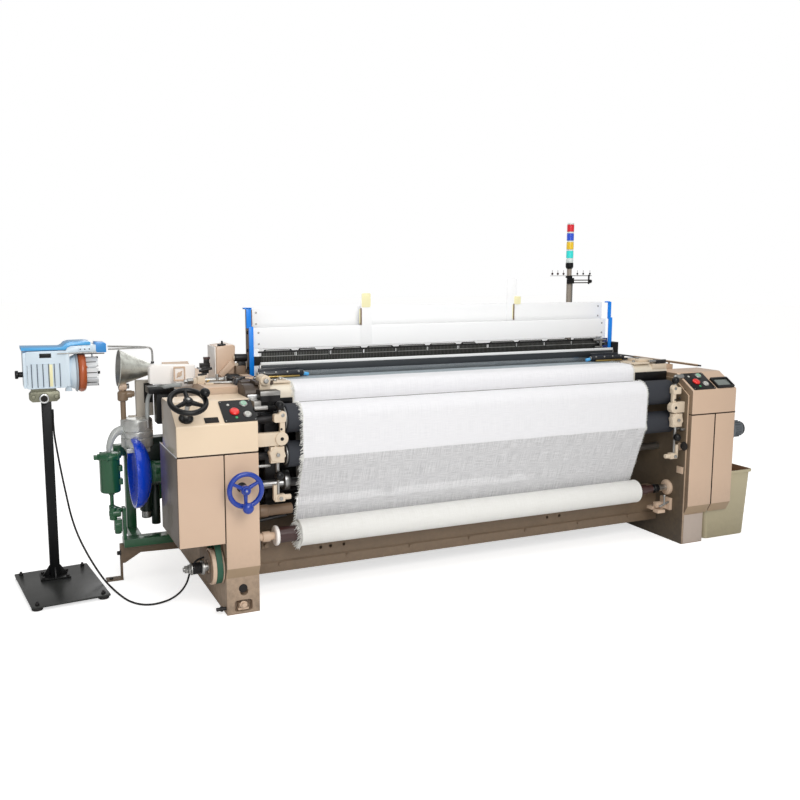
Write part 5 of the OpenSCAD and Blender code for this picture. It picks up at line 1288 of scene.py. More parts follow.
def make_temples():
    for side in (-1, 1):
        x0 = 926.0 if side > 0 else -1166.0
        temple = (Form().plate(round_box(30, 30, 6), (x0, 418, 1082), ALONG_Y, UP, 240)
                  .bar((x0 + 8, 433, 1096), (x0 + 232, 433, 1096), 18.5)
                  .block((x0 + 2, 436, 1098), (x0 + 206, 450, 1126)))
        if side > 0:
            temple.boxes((x0 + 236, 424, 1080, 1306, 444, 1090), (1276, 360, 1016, 1306, 444, 1090))
        else:
            temple.boxes((-1306, 424, 1080, x0 + 4, 444, 1090), (-1306, 360, 1016, -1276, 444, 1090))
        temple.use(1).block((x0 + 20, 404, 1080), (x0 + 214, 417.5, 1088)).use(2)
        for k in range(4):
            temple.turned((x0 + 26 + 62 * k, 418.4, 1106), TO_FRONT, stud(6, 4, 4, 5), 6)
        (temple.use(3).bar((x0 + (242 if side < 0 else -6), 436, 1092),
                      (x0 + (272 if side < 0 else -34), 440, 1086), 10)
         .use(2).hexagon((x0 + 4, 434, 1098), (x0 - 8, 434, 1098), 12)
         .hexagon((x0 + 236, 434, 1098), (x0 + 246, 434, 1098), 12)
         .piece("temple_" + hand(side), [DEEP_BLACK_BLUE, BRASS, PLAIN_STEEL, FEEDER_BLUE], bevel=1.2,
                replaces=["temples"] if side > 0 else ()))


# Levers and ball knobs beside the rollers
def make_take_up_levers():
    """The castings, levers and ball knobs at each end of the rollers."""
    for side, reach in ((-1, 150), (1, 92)):
        end = side * (HALF_IN - reach)
        inner = side * HALF_IN
        levers = Form()

        def out(distance):
            """The x of a place this far from the rollers' end, towards the side frame."""
            return end + side * distance

        def slab(x0, x1, y0, y1, z0, z1):
            levers.block((min(x0, x1), y0, z0), (max(x0, x1), y1, z1))

        slab(inner, out(26), 26, 54, 800, 864)
        levers.bar((out(20), 60, 832), (out(20), 18, 832), 33, 40)
        slab(out(2), out(26), 28, 46, 858, 952)
        (levers.bar((out(14), 24, 946), (out(14), 50, 946), 20, 28)
         .plate(round_box(58, 40, 8), (min(end, out(56)), 22, 912), ALONG_X, UP, -32))
        slab(out(8), out(76), 24, 54, 716, 794)
        levers.hexagon((out(42), 20, 757), (out(42), 58, 757), 44)
        slab(out(6), out(56), 26, 56, 524, 558)
        slab(out(46), out(62), 30, 52, 532, 606)
        (levers.bar((out(30), 18, 541), (out(30), 62, 541), 16, 28)
         .bar((out(6), 41, 541), (out(-26), 41, 541), 13, 24)
         .use(1).bar((out(39), 39, 714), (out(39), 39, 650), 9, 20)
         .bar((out(37), 39, 640), (out(37), 39, 556), 6.5, 20)
         .bar((out(24), 38, 948), (out(24), 38, 974), 8, 20))
        for x, z in ((42, 757), (30, 541)):
            levers.hexagon((end + side * x, 18, z), (end + side * x, 8, z), 10)
        (levers.turned((out(14), 21.5, 946), TO_FRONT, [(0, 0), (9, 0), (9, 2), (0, 2.4)], 20)
         .bar((inner, 58, 700), (out(70), 58, 700), 8).use(2).ball((out(24), 36, 992), 22)
         .ball((out(38), 16, 655), 23)
         .use(3).turned((out(20), 17.5, 832), TO_FRONT, [(0, 0), (9, 0), (9, 0.8), (0, 1)], 24)
         .turned((out(20), 28, 878), TO_FRONT, drum(6, 1), 16)
         .piece("take_up_levers_" + hand(side), [CREAM_CAST, PLAIN_STEEL, BLACK_PLASTIC, DEEP_HOLE],
                bevel=2.2, replaces=["take_up_brackets"] if side < 0 else (), slot="tan_paint"))


def make_side_shafts():
    """Shafts, seats and small fittings on the inner sides of the side frames."""
    (Form().use(2).bar((-1306, 150, 452), (-1090, 150, 452), 27)
     .bar((-1262, 150, 452), (-1214, 150, 452), 31).use(0).bar((-1306, 40, 985), (-1240, 40, 985), 10)
     .turned((-1306, 60, 322), ALONG_X, stud(54, 10, 40, 16), 40)
     .use(3).bar((-1300, 150, 400), (-1120, 150, 420), 8)
     .use(0).boxes((-1290, 90, 968, -1256, 190, 1010), (-1250, 116, 1030, -1150, 119, 1052))
     .use(3).block((-1250, 120, 1000), (-1150, 196, 1051))
     .piece("left_side_shafts", [CAST_ALUMINIUM, PLAIN_STEEL, BROWN_SMALL, SOOT_STEEL], bevel=2))
    seats = Form()
    for x in (-1306, 1306):
        side = -1 if x < 0 else 1
        for (y, z, _), big in ((TAKE_UP, 40), (GUIDE, 38), (ROLL, 46)):
            seats.turned((x, y, z), (-side, 0, 0), [(20.5, 0), (big, 0), (big, 12), (big - 4, 16), (24, 18),
                (20.5, 18), (20.5, 0)], 40)
    seats.piece("bearing_seats", TAN_SMALL, smooth=40)
    (Form().boxes((1182, 120, 196, 1306, 172, 214), (1192, 96, 214, 1262, 128, 244),
                  (1288, 92, 190, 1306, 180, 262), (1176, 64, 188, 1230, 110, 206))
     .use(1).bar((1224, 70, 236), (1224, 70, 286), 5).ball((1224, 70, 290), 9)
     .bar((1192, 74, 226), (1262, 74, 250), 6).piece("roll_latch_right", [TAN_SMALL, PLAIN_STEEL], bevel=2))
    (Form().block((1298, 10, 430), (1306, 60, 470))
     .turned((1306.5, 50, 590), TO_LEFT, [(0, 0), (24, 0), (20, 3), (0, 3)], 32)
     .use(1).bar((1306, 52, 1010), (1262, 52, 1010), 13)
     .pipe(curve_points([(1262, 52, 1010), (1250, 50, 1012), (1244, 44, 1000), (1244, 36, 980)], 4), 12)
     .bar((1306, 20, 700), (1280, 20, 700), 8)
     .use(2).turned((1300, 8, 600), (-1, -0.15, 0), [(0, 0), (26, 0), (26, 2), (20, 6), (0, 8)], 32)
     .piece("right_side_fittings", [TAN_SMALL, PLAIN_STEEL, DEEP_HOLE], bevel=1.2))


def make_beam_top():
    """Brackets and plates at the two ends of the breast beam."""
    (Form().block((-1232, 190, 1040), (-1180, 260, 1112))
     .use(2).boxes((-1250, 200, 1075, -1160, 300, 1092), (-1296, 300, 1070, -1226, 420, 1082))
     .use(0).bar((-1206, 262, 1096), (-1206, 176, 1096), 26, 36)
     .block((-1160, 210, 1076), (-1068, 330, 1084)).use(1).bar((-1206, 176, 1096), (-1206, 160, 1096), 12)
     .hexagon((-1140, 240, 1084), (-1140, 240, 1094), 11).hexagon((-1096, 290, 1084), (-1096, 290, 1094), 11)
     .hexagon((-1228, 280, 1092), (-1228, 280, 1103), 12)
     .piece("left_beam_bracket", [CREAM_CAST, PLAIN_STEEL, OILY_END], bevel=2.5))
    (Form().boxes((1066, 200, 1076, 1180, 330, 1086), (1120, 230, 1086, 1230, 330, 1100),
                  (1196, 190, 1044, 1300, 300, 1074), (1216, 300, 1060, 1300, 640, 1078))
     .use(1).bar((1180, 208, 1090), (1306, 208, 1090), 9).hexagon((1150, 280, 1100), (1150, 280, 1110), 11)
     .hexagon((1092, 240, 1086), (1092, 240, 1096), 11).use(2).block((1228, 196, 1076), (1300, 226, 1096))
     .piece("right_beam_bracket", [CREAM_CAST, PLAIN_STEEL, DARK_STEEL], bevel=2))
    rail = Form().bar((1452, 66, 1066), (1452, 990, 1066), 5)
    for y in (340, 640):
        rail.bar((1452, y, 1048), (1452, y, 1062), 6)
    rail.piece("right_top_rail", BLACK_PLASTIC)
    # The long black slab under the beam and the black plates below its two front ends are painted shade.
    (Form().boxes((-1300, 196, 940, 1300, 330, 971.5), (-1300, 184, 972, -1066, 192.5, 1006),
                  (1066, 184, 972, 1300, 192.5, 1030), (-1304, 640, 275, -900, 656, 760))
     .use(1).block((-1296, 183, 1008), (-1130, 192, 1030))
     .use(2).boxes((-1300, 420, 700, -1200, 560, 1000), (-1180, 300, 560, -1060, 420, 900))
     .piece("dark_parts_and_painted_shade_under_the_beam", [BLACK_PLASTIC, BRIGHT_STEEL, DARK_STEEL], bevel=2))


# Drives
def make_drives():
    dress("crank_shaft", TURNED_STEEL, bevel=1.2)
    dress("back_rest_roller", TURNED_STEEL, bevel=2)
    dress("motor_pulley", TURNED_STEEL, bevel=1.2)
    dress("drive_motor", MOTOR_GREY, bevel=1.2)
    dress("drive_belts", BELT_GREEN, bevel=0)
    dress("warp_beam", CAST_ALUMINIUM, bevel=3)
    (Form().turned((1788, 75, 662), ALONG_X, [(0, 0), (40, 0), (42, 4), (42, 12), (36, 14), (0, 14)], 40)
     .piece("motor_end_cap", BLACK_PLASTIC, smooth=30))
    ring_of(Form().block((1704, 73.6, 704), (1780, 76.4, 714)), "motor_shaft_fins", MOTOR_GREY, 16,
            (1700, 75, 662))
    y, z = 90.0, 225.0
    wheel = (Form().turned((-1508, y, z), ALONG_X, [(0, -24), (30, -24), (34, -22), (66, -18), (82, -20),
        (87, -18), (87, -1), (80, 0), (80, 30), (84, 31), (87, 33), (87, 36), (0, 36)], 72)
             .use(2).turned((-1508, y, z), ALONG_X, [(34, -24.6), (36, -26), (76, -26), (78, -21), (34, -19),
                 (34, -24.6)], 60).use(1).bar((-1566, y, z), (-1406, y, z), 19.9)
             .bar((-1652, y, z), (-1530, y, z), 11, 28)
             .turned((-1566, y, z), ALONG_X, [(11, 0), (32, 0), (34, 3), (34, 12), (11, 12), (11, 0)], 36)
             .hexagon((-1644, y, z), (-1630, y, z), 20).hexagon((-1628, y, z), (-1616, y, z), 24)
             .turned((-1616, y, z), ALONG_X, tube(11, 30, 5), 32))
    coil = [(-1612 + 46 * t / 120, y + 24 * math.cos(t * 0.32),
             z + 24 * math.sin(t * 0.32)) for t in range(121)]
    (wheel.use(3).pipe(coil, 4.6, 10)
     .piece("let_off_pulley_and_spring", [TAN_SMALL, PLAIN_STEEL, BROWN_SMALL, SOOT_STEEL],
            body="let_off_pulley", replaces=["let_off_pulley"], smooth=35))
    (Form().boxes((-1540, 130, 330, -1466.5, 380, 365), (-1500, 260, 120, -1466.5, 420, 330),
                  (-1476, 60, 300, -1466.5, 200, 420))
     .use(1).turned((-1470, 200, 190), TO_LEFT, [(0, 0), (26, 0), (22, 6), (0, 6)], 30)
     .use(0).hexagon((-1500, 300, 160), (-1512, 300, 160), 13)
     .hexagon((-1500, 380, 160), (-1512, 380, 160), 13)
     .piece("frame_side_plates_left", [BROWN_SMALL, DEEP_HOLE], bevel=2.5))


# Pump
def make_pump_stand():
    """The green stand and the dark works on it."""
    x0, y0 = -1839.0, 660.0
    (Form().plate(round_box(52, 60, 8), (-1790, 888, 192), ALONG_X, ALONG_Y, 500)
     .boxes((-1790, 730, 190, -1738, 948, 231), (-1850, 860, 640, -1786, 910, 700),
            (x0, y0, 190, -1466.5, y0 + 80, 232))
     .bar((-1690, PUMP_Y, PUMP_Z), (-1600, PUMP_Y, PUMP_Z), 58, 40)
     .block((x0, y0 + 12, 231), (x0 + 16, y0 + 68, 400)).bar((x0 - 8, 700, 372), (x0 - 52, 700, 372), 22)
     .bar((x0 - 46, 700, 338), (x0 - 46, 700, 404), 19)
     .hexagon((x0 - 50, 700, 372), (x0 - 66, 700, 372), 17)
     .bar((x0 - 10, 700, 310), (x0 - 40, 700, 310), 26).block((x0 - 42, 676, 276), (x0 - 6, 724, 340))
     .hexagon((x0 - 24, 700, 276), (x0 - 24, 700, 262), 18)
     .plate([(110, 500), (190, 480), (230, 400), (230, 200), (150, 160), (110, 160)], (x0 + 2, 860, 190),
            ALONG_X, UP, 14)
     .piece("green_pump_stand", [GREEN_PAINT], bevel=3, segments=3, replaces=["pump_stand"]))
    (Form().bar((-1690, 852, 520), (-1690, 852, 330), 34)
     .bar((-1640, 852, 500), (-1640, 852, 250), 24)
     .boxes((-1730, 800, 480, -1500, 870, 700), (-1600, 730, 300, -1490, 800, 760),
            (-1720, 802, 690, -1540, 880, 740)).use(1).bar((-1690, 852, 330), (-1690, 852, 290), 26, 28)
     .bar((-1640, PUMP_Y, PUMP_Z), (-1470, PUMP_Y, PUMP_Z), 14, 28)
     .bar((-1600, 720, 640), (-1480, 720, 650), 10, 20)
     .piece("dark_pump_works", [DEEP_GREEN, PLAIN_STEEL], bevel=5))
    dress("pump_bracket", BROWN_CAST, bevel=2.5)
    (Form().hexagon((-1853, 715, 150), (-1872, 715, 150), 12)
     .turned((-1853, 715, 150), TO_LEFT, drum(15, 4), 24).bar((-1905, 730, 8), (-1905, 730, 16), 10)
     .piece("pump_bracket_bolts", DARK_STEEL))


def make_water_tank():
    tx, ty = -1887.3, 742.0
    tank = Form().turned((tx, ty, 478), UP, [(0, 0), (46, 0), (50, 3), (52, 9), (52, 174), (53, 180),
        (60, 182), (61, 186), (61, 196), (58, 201), (52, 204), (40, 210), (18, 213), (0, 213)], 64)
    for degrees in range(0, 360, 60):
        lug = round_the(tx, ty, 56, degrees + 12)
        tank.hexagon((*lug, 654), (*lug, 686), 8)
    (tank.boxes((tx - 78, ty - 14, 656, tx - 54, ty + 14, 678),
                (tx + 40, ty - 30, 518, tx + 61, ty + 10, 548),
                (tx + 40, ty - 30, 588, tx + 61, ty + 10, 618))
     .bar((tx + 4, ty, 396), (tx + 4, ty, 480), 10, 24).hexagon((tx + 4, ty, 462), (tx + 4, ty, 480), 16)
     .bar((tx + 4, ty, 398), (tx + 60, 712, 376), 11, 20).hexagon((tx + 4, ty, 386), (tx + 4, ty, 406), 17)
     .piece("green_water_tank", GREEN_PAINT, bevel=1.2, replaces=["water_tank"], smooth=35))


def make_pump_head():
    x, y = -1760.0, 780.0
    (Form().block((-1800, 720, 680), (x + 80, y + 60, 702))
     .turned((x + 24, y + 6, 700), UP, [(0, 0), (76, 0), (82, 6), (83, 12), (83, 50), (78, 53), (83, 56),
         (84, 84), (79, 88), (83, 92), (82, 146), (74, 154), (50, 158), (0, 158)], 56)
     .bar((x + 74, y - 30, 700), (x + 74, y - 30, 830), 15, 28)
     .hexagon((x + 74, y - 30, 770), (x + 74, y - 30, 800), 20)
     .use(1).bar((x - 42, y, 850), (x - 42, y, 964), 14)
     .turned((x - 42, y, 950), UP, [(0, 0), (22, 0), (27, 6), (27, 44), (20, 52), (0, 54)], 36)
     .bar((x - 42, y, 984), (x + 6, y, 984), 20, 28).hexagon((x + 2, y, 984), (x + 18, y, 984), 17)
     .use(2).boxes((x + 30, y + 20, 860, x + 118, y + 62, 1050), (x - 10, y + 20, 790, x + 60, y + 62, 862))
     .use(3).block((x + 70, y + 18.6, 930), (x + 116, y + 20.6, 1036))
     .piece("pump_head", [CRUMPLED, SIDE_SHADE, BOX_GREY, DEEP_HOLE], bevel=2, replaces=["pump_body"],
            smooth=35, slot="bright_steel"))


def make_pump_hoses():
    tank_hose = curve_points([(-1888, 742, 690.8), (-1885, 742, 722), (-1868, 750, 764), (-1842, 762, 790),
        (-1800, 776, 800)], 8)
    (Form().pipe(tank_hose, [12 + 14 * i / len(tank_hose) for i in range(len(tank_hose))], 20)
     .piece("clear_tank_hose", CLEAR_HOSE, replaces=["pump_hoses"], slot="grey_hose"))
    jet = curve_points([(-1686, 730, 820.5), (-1686, 728, 932), (-1671, 712, 992), (-1634, 680, 1022),
                        (-1600, 630, 1033), (-1574, 590, 1043), (-1540, 560, 1046)], 10)
    (Form().pipe(jet, 11, 16).use(1).bar((-1686, 730, 806), (-1686, 729, 862), 15, 24)
     .piece("braided_jet_hose", [HOSE_GREY, PLAIN_STEEL]))


def make_pump_dish():
    """The blue flywheel on the pump's shaft."""
    wheel = Form()
    wx = -1768.0
    profile = [(18, 40), (34, 40), (38, 44), (44, 54), (52, 56), (90, 50), (126, 36), (150, 20), (160, 8),
               (164, -4), (168, -11), (178, -12), (183, -8), (183, 12), (180, 20), (170, 36), (150, 52),
               (120, 66), (90, 74), (60, 79), (46, 84), (40, 90), (18, 90), (18, 40)]
    (wheel.turned((wx, PUMP_Y, PUMP_Z), ALONG_X, profile, 96)
     .use(1).bar((wx + 20, PUMP_Y, PUMP_Z), (-1406, PUMP_Y, PUMP_Z), 18)
     .turned((wx + 32, PUMP_Y, PUMP_Z), ALONG_X, [(17, 0), (28, 0), (30, 4), (30, 8), (17, 8), (17, 0)], 6)
     .use(2))
    for degrees in range(0, 360, 60):
        bolt = round_the(PUMP_Y, PUMP_Z, 66, degrees + 20)
        wheel.bar((wx + 50, *bolt), (wx + 60, *bolt), 8, 16)
    (wheel.use(3).turned((wx + 90, PUMP_Y, PUMP_Z), ALONG_X, [(18, 0), (58, 0), (60, 4), (60, 14), (56, 18),
        (18, 18)], 40)
     .piece("blue_pump_dish", [BLUE_PAINT, PLAIN_STEEL, DARK_STEEL, GREEN_PAINT], body="pump_flywheel",
            replaces=["pump_flywheel"], smooth=38))


# Feeder on its stand
FEEDER = (-2175.0, 850.0, 1106.0)  # the pole's x and y, and the height of the winding axis
FEEDER_SIDES = FEEDER[0] - 104, FEEDER[0] + 100
FEEDER_EDGES = 1035.0, 1225.0  # the housing's lower and upper edge
WINDING_X = FEEDER_SIDES[1] + 58


def make_feeder_stand():
    """The floor plate, a little turned, the pole with its feet, and the clamp."""
    cx, cy = FEEDER[:2]
    turn = math.radians(6)
    bx, by = -2157.0, 712.0

    def tilted(u, v):
        return (bx + u * math.cos(turn) - v * math.sin(turn), by + u * math.sin(turn) + v * math.cos(turn))
    outline = [(p[0] - 187.5, p[1] - 277.5) for p in round_box(375, 555, 8)]
    (Form().plate([tilted(u, v) for u, v in outline], (0, 0, 16), ALONG_X, ALONG_Y, 9)
     .piece("stand_floor_plate", STAND_PLATE, bevel=1.5))
    rest = Form()
    for u in (-157.5, 157.5):
        for v in (-247.5, 247.5):
            px, py = tilted(u, v)
            (rest.use(1).turned((px, py, 0), UP, [(0, 0), (24, 0), (27, 3), (27, 14), (24, 16), (0, 16)], 32)
             .use(2).bar((px, py, 16), (px, py, 42), 6, 16).hexagon((px, py, 25), (px, py, 34), 11))
    (rest.use(0).plate(round_box(48, 48, 4), (cx - 24, cy - 24, 25), ALONG_X, ALONG_Y, 938)
     .plate(round_box(150, 120, 5), (cx - 75, cy - 60, 25), ALONG_X, ALONG_Y, 8))
    for side in (-1, 1):
        (rest.plate([(23, 6), (62, 6), (62, 10), (27, 62), (23, 62)], (cx, cy + 4, 25), (side, 0, 0), UP,
                    8 * side)
         .plate([(23, 6), (56, 6), (56, 10), (27, 56), (23, 56)], (cx + 4, cy, 25), (0, side, 0), UP,
                -8 * side))
    rest.use(2)
    for x in (-60, 60):
        for y in (-46, 46):
            rest.hexagon((cx + x, cy + y, 33), (cx + x, cy + y, 42), 9)
    (rest.use(3).plate([(-66, 0), (50, 0), (66, 14), (66, 46), (54, 52), (-70, 52), (-80, 40), (-80, 12)],
                       (cx, cy + 34, 962), ALONG_X, UP, 68)
     .block((cx - 70, cy - 28, 1010), (cx + 50, cy + 28, 1034.6))
     .bar((cx - 12, cy - 34, 982), (cx - 12, cy - 64, 982), 24)
     .bar((cx + 48, cy - 36, 988), (cx + 48, cy - 44, 988), 10, 20)
     .bar((cx - 62, cy - 36, 988), (cx - 62, cy - 44, 988), 10, 20)
     .use(4).turned((cx - 12, cy - 64, 982), TO_FRONT, drum(16, 1), 28)
     .use(5).turned((cx - 12, cy - 64, 982), TO_FRONT, tube(17, 24, 1.4), 36)
     .use(0).block((cx - 20, cy - 12, 876), (cx + 34, cy + 12, 916))
     .piece("stand_pole_and_clamp", [POLE_BLACK, RUBBER, DARK_STEEL, CLAMP_STEEL, DEEP_HOLE, BRIGHT_STEEL],
            bevel=1.6, replaces=["feeder_stand"]))


def make_feeder_housing():
    (x0, x1), cy, axis_z = FEEDER_SIDES, *FEEDER[1:]
    low, high = FEEDER_EDGES
    hull = (Form().plate(round_box(x1 - x0 - 14, high - low, 9), (x0 + 14, cy + 78, low), ALONG_X, UP, 156)
            .plate(round_box(17, high - low - 10, 4), (x0, cy + 70, low + 4), ALONG_X, UP, 140))
    for z, a, b in ((low + 3, 36, 176), (low + 124, 36, 176)):
        hull.block((x0 + a, cy - 80, z), (x0 + b, cy - 77, z + 4))
    (hull.block((x1 - 4, cy - 77, low + 8), (x1 + 17, cy + 70, high - 8))
     .turned((x1 - 2, cy, axis_z), ALONG_X, [(0, -2), (30, 0), (50, 4), (66, 12), (78, 24), (86, 38),
         (90, 50), (88, 56), (0, 56)], 72)
     .use(1).block((x0 + 122, cy - 80, low + 10), (x0 + 138, cy - 77.4, low + 122))
     .use(2).boxes((x0 + 78, cy - 79.6, high - 34, x0 + 134, cy - 77.4, high - 12), (x0 + 18, cy - 79,
         high - 70, x0 + 19.4, cy + 70, low + 20))
     .bar((x0 - 38, cy - 10, 1104), (x0 - 22, cy - 10, 1104), 21, 28)
     .bar((x0 - 22, cy - 10, 1104), (x0 + 1, cy - 10, 1104), 14, 24)
     .use(3).turned((x1 + 46, cy, axis_z), ALONG_X, [(86, 0), (98, 2), (103, 6), (103, 10), (98, 12),
         (86, 12), (86, 0)], 72)
     .use(0).plate([(0, 0), (34, 0), (28, 24), (8, 30)], (x1 - 4, cy - 20, low - 26), ALONG_X, UP, -40)
     .piece("feeder_housing", [FEEDER_GREY, YELLOWED, BLACK_PLASTIC, FEEDER_RING_GREY], bevel=1.6,
            replaces=["feeder_body"], smooth=35))
    row_of(Form().block((x0 + 36, cy - 82, low + 8), (x0 + 40, cy - 77, low + 126)), "feeder_ribs",
           FEEDER_EDGE, 6, (27, 0, 0))


def make_feeder_lid():
    (x0, x1), cy, high = FEEDER_SIDES, FEEDER[1], FEEDER_EDGES[1]
    lid = Form()
    top = [(-6, 16), (178, 12), (192, 18), (206, 32), (228, 38), (300, 39), (326, 36), (326, 22), (230, 20),
           (214, 12), (204, 0), (-6, 1)]
    (lid.plate(top, (x0, cy + 80, high + 4), ALONG_X, UP, 162)
     .use(1).plate([(0, 0), (56, 0), (56, 44), (46, 52), (0, 54)], (x1 + 146, cy + 30, high - 18), ALONG_X,
                   UP, 84)
     .use(2).plate([(190, -24), (352, -16), (352, 22), (230, 20), (212, 12), (204, -4), (190, -4)],
                   (x0, cy + 76, high + 2), ALONG_X, UP, 152)
     .plate(round_box(62, 24, 11), (x1 + 62, cy - 79, high - 8), ALONG_X, UP, 3).use(3))
    for u in (8, 30, 52):
        lid.turned((x1 + 62 + u + 1, cy - 82, high + 4), TO_FRONT, [(0, 0), (3.4, 0), (3.4, 0.8), (0, 1)], 14)
    (lid.block((x1 + 60, cy - 70, high - 24), (x1 + 190, cy - 66, high - 19))
     .piece("feeder_top", [FEEDER_BLUE, FEEDER_BLUE_DARK, FEEDER_GREY, DARK_STEEL], bevel=1.8,
            replaces=["feeder_lid"], smooth=35))


def make_feeder_drum():
    """The winding ring, and the drum of eight fingers that stands still inside it."""
    x1, cy, axis_z = FEEDER_SIDES[1], *FEEDER[1:]
    ring_x = WINDING_X
    ring = (Form().turned((ring_x, cy, axis_z), ALONG_X, [(0, 0), (86, 0), (96, 3), (102, 8), (104.5, 16),
        (104, 26), (99, 36), (92, 40), (85, 41), (84, 36), (84, 13), (0, 13)], 96)
            .bar((x1 + 24, cy, axis_z), (ring_x + 2, cy, axis_z), 12, 28))
    for k in range(3):
        spot = round_the(cy, axis_z, 94, 120 * k + 40)
        ring.bar((ring_x + 38, *spot), (ring_x + 43, *spot), 5, 14)
    ring.piece("orange_winding_ring", FEEDER_ORANGE, body="feeder_ring", replaces=["feeder_ring"], smooth=35)
    dx = ring_x + 12.3
    (Form().bar((dx, cy, axis_z), (dx + 70, cy, axis_z), 34, 40)
     .bar((dx + 40, cy, axis_z), (dx + 50, cy, axis_z), 66, 48)
     .block((dx + 62, cy - 12, axis_z + 20), (dx + 68, cy + 12, 1199.7))
     .piece("feeder_drum_core", CLEAR_GREY, replaces=["feeder_drum"], bevel=1.5, smooth=35))
    ring_of(Form().plate([(0, -24), (70, -24), (82, -19), (82, 19), (70, 24), (0, 24)],
                         (dx + 6, cy, axis_z + 60), ALONG_X, ALONG_Y,
                         14).block((dx + 38, cy - 6, axis_z + 28), (dx + 50, cy + 6, axis_z + 68)),
            "feeder_drum_fingers", FINGER_STEEL, 8, (dx, cy, axis_z))
    ring_of(Form().block((dx + 8, cy - 2, axis_z + 74.6), (dx + 78, cy + 2, axis_z + 75.8)),
            "feeder_drum_pins", DARK_STEEL, 8, (dx, cy, axis_z))
    ring_of(Form().block((dx + 82, cy - 7, axis_z + 66), (dx + 94, cy + 7, axis_z + 76)), "feeder_drum_tips",
            BLACK_PLASTIC, 4, (dx, cy, axis_z))


def make_guide_rods():
    """The bent rods that lead the yarn from the feeder to the cone."""
    x1, cy = FEEDER_SIDES[1], FEEDER[1]
    x_end = CONE_X + CONE_LENGTH + 6
    x_start = x1 + 213
    path = curve_points([(x_start, cy - 20, 1234), ((x_start + x_end) / 2, 805, 1231),
                         (x_end - 30, 781, 1227), (x_end - 8, CONE_Y, 1220), (x_end, CONE_Y, 1198),
                         (x_end, CONE_Y, 1140.6)], 8)
    (Form().pipe(path, 5).pipe([(x_start, cy - 32, 1220), (x_end - 34, 778, 1225)], 4, 12)
     .use(1).bar((x_end - 8, CONE_Y, 1146), (x_end + 8, CONE_Y, 1146), 6, 16)
     .use(0).pipe([(x1 - 40, cy - 82, 1210), (x1 + 150, cy - 84, 1212)], 3, 10)
     .piece("bent_guide_rods", [PLAIN_STEEL, BLACK_PLASTIC], replaces=["yarn_guide_rods"], smooth=40))


def make_balloon_cone():
    tilt = math.radians(4)
    way = Vector((math.cos(tilt), 0, -math.sin(tilt)))
    start = Vector((CONE_X, CONE_Y, 1123))
    outer = [(92.2, -4), (95, -4), (96, -1), (95, 2), (93, 3)]
    outer += [(93 - 66 * t / 12, 168 * t / 12) for t in range(1, 13)]
    outer += [(29.5, 168), (30, 171), (29.5, 176), (27, 177)]
    inner = [(27, 177), (24.5, 176), (24.5, 168)]
    inner += [(24.5 + 67 * t / 12, 168 - 170 * t / 12) for t in range(1, 13)] + [(92.2, -4)]
    (Form().turned(start, way, outer, 96).use(1).turned(start, way, inner, 96)
     .piece("balloon_cone", [CONE_STEEL, CONE_INSIDE], replaces=["yarn_cone"], smooth=30))
    (Form().bar((-1802, CONE_Y, 1004), (-1802, CONE_Y, 1034), 12, 24)
     .block((-1822, 762, 1018), (-1782, 798, 1030)).bar((-1822, CONE_Y, 1026), (-1782, CONE_Y, 1026), 22, 28)
     .use(1).hexagon((-1784, CONE_Y, 1026), (-1768, CONE_Y, 1026), 15)
     .piece("cone_clevis", [TAN_SMALL, PLAIN_STEEL], bevel=1.2))


# Nozzle end, on top of the left frame
def make_nozzle_covers():
    (Form().plate([(0, 0), (98, 0), (102, 184), (90, 190), (6, 182), (0, 174)], (-1345, 770, 1051), ALONG_X,
                  UP, 170).plate([(0, 20), (22, 0), (88, 60), (66, 90)], (-1342, 598, 1070), ALONG_X, UP, 26)
     .use(1).block((-1352, 604, 1051), (-1345.2, 766, 1232))
     .use(2).boxes((-1330, 606, 1232, -1290, 640, 1246), (-1312, 610, 1244, -1304, 630, 1262))
     .piece("tan_nozzle_cover", [NOZZLE_TAN, CREAM_BOX, BLACK_PLASTIC], bevel=4, segments=3,
            replaces=["nozzle_unit"], slot="tan_paint"))
    (Form().plate([(0, 14), (214, 0), (236, 12), (236, 104), (14, 112), (0, 100)], (-1684, 700, 1034),
                  ALONG_X, UP, 62).block((-1560, 600, 1030), (-1470, 700, 1060))
     .piece("cream_casing_top_left", CREAM_BOX, bevel=6, segments=3))
    (Form().plate(round_box(60, 76, 5), (-1570, 600, 1062), ALONG_X, UP, 8,
                  holes=[[(p[0] + 7, p[1] + 9) for p in round_box(46, 58, 4)]])
     .use(1).block((-1564, 596, 1070), (-1516, 599, 1130))
     .use(2).bar((-1540, 596, 1098), (-1540, 588, 1098), 12, 28)
     .bar((-1554, 595, 1082), (-1528, 588, 1114), 4, 12)
     .piece("framed_nozzle_plate", [NOZZLE_TAN, CREAM_BOX, TAN_SMALL], bevel=1.2))


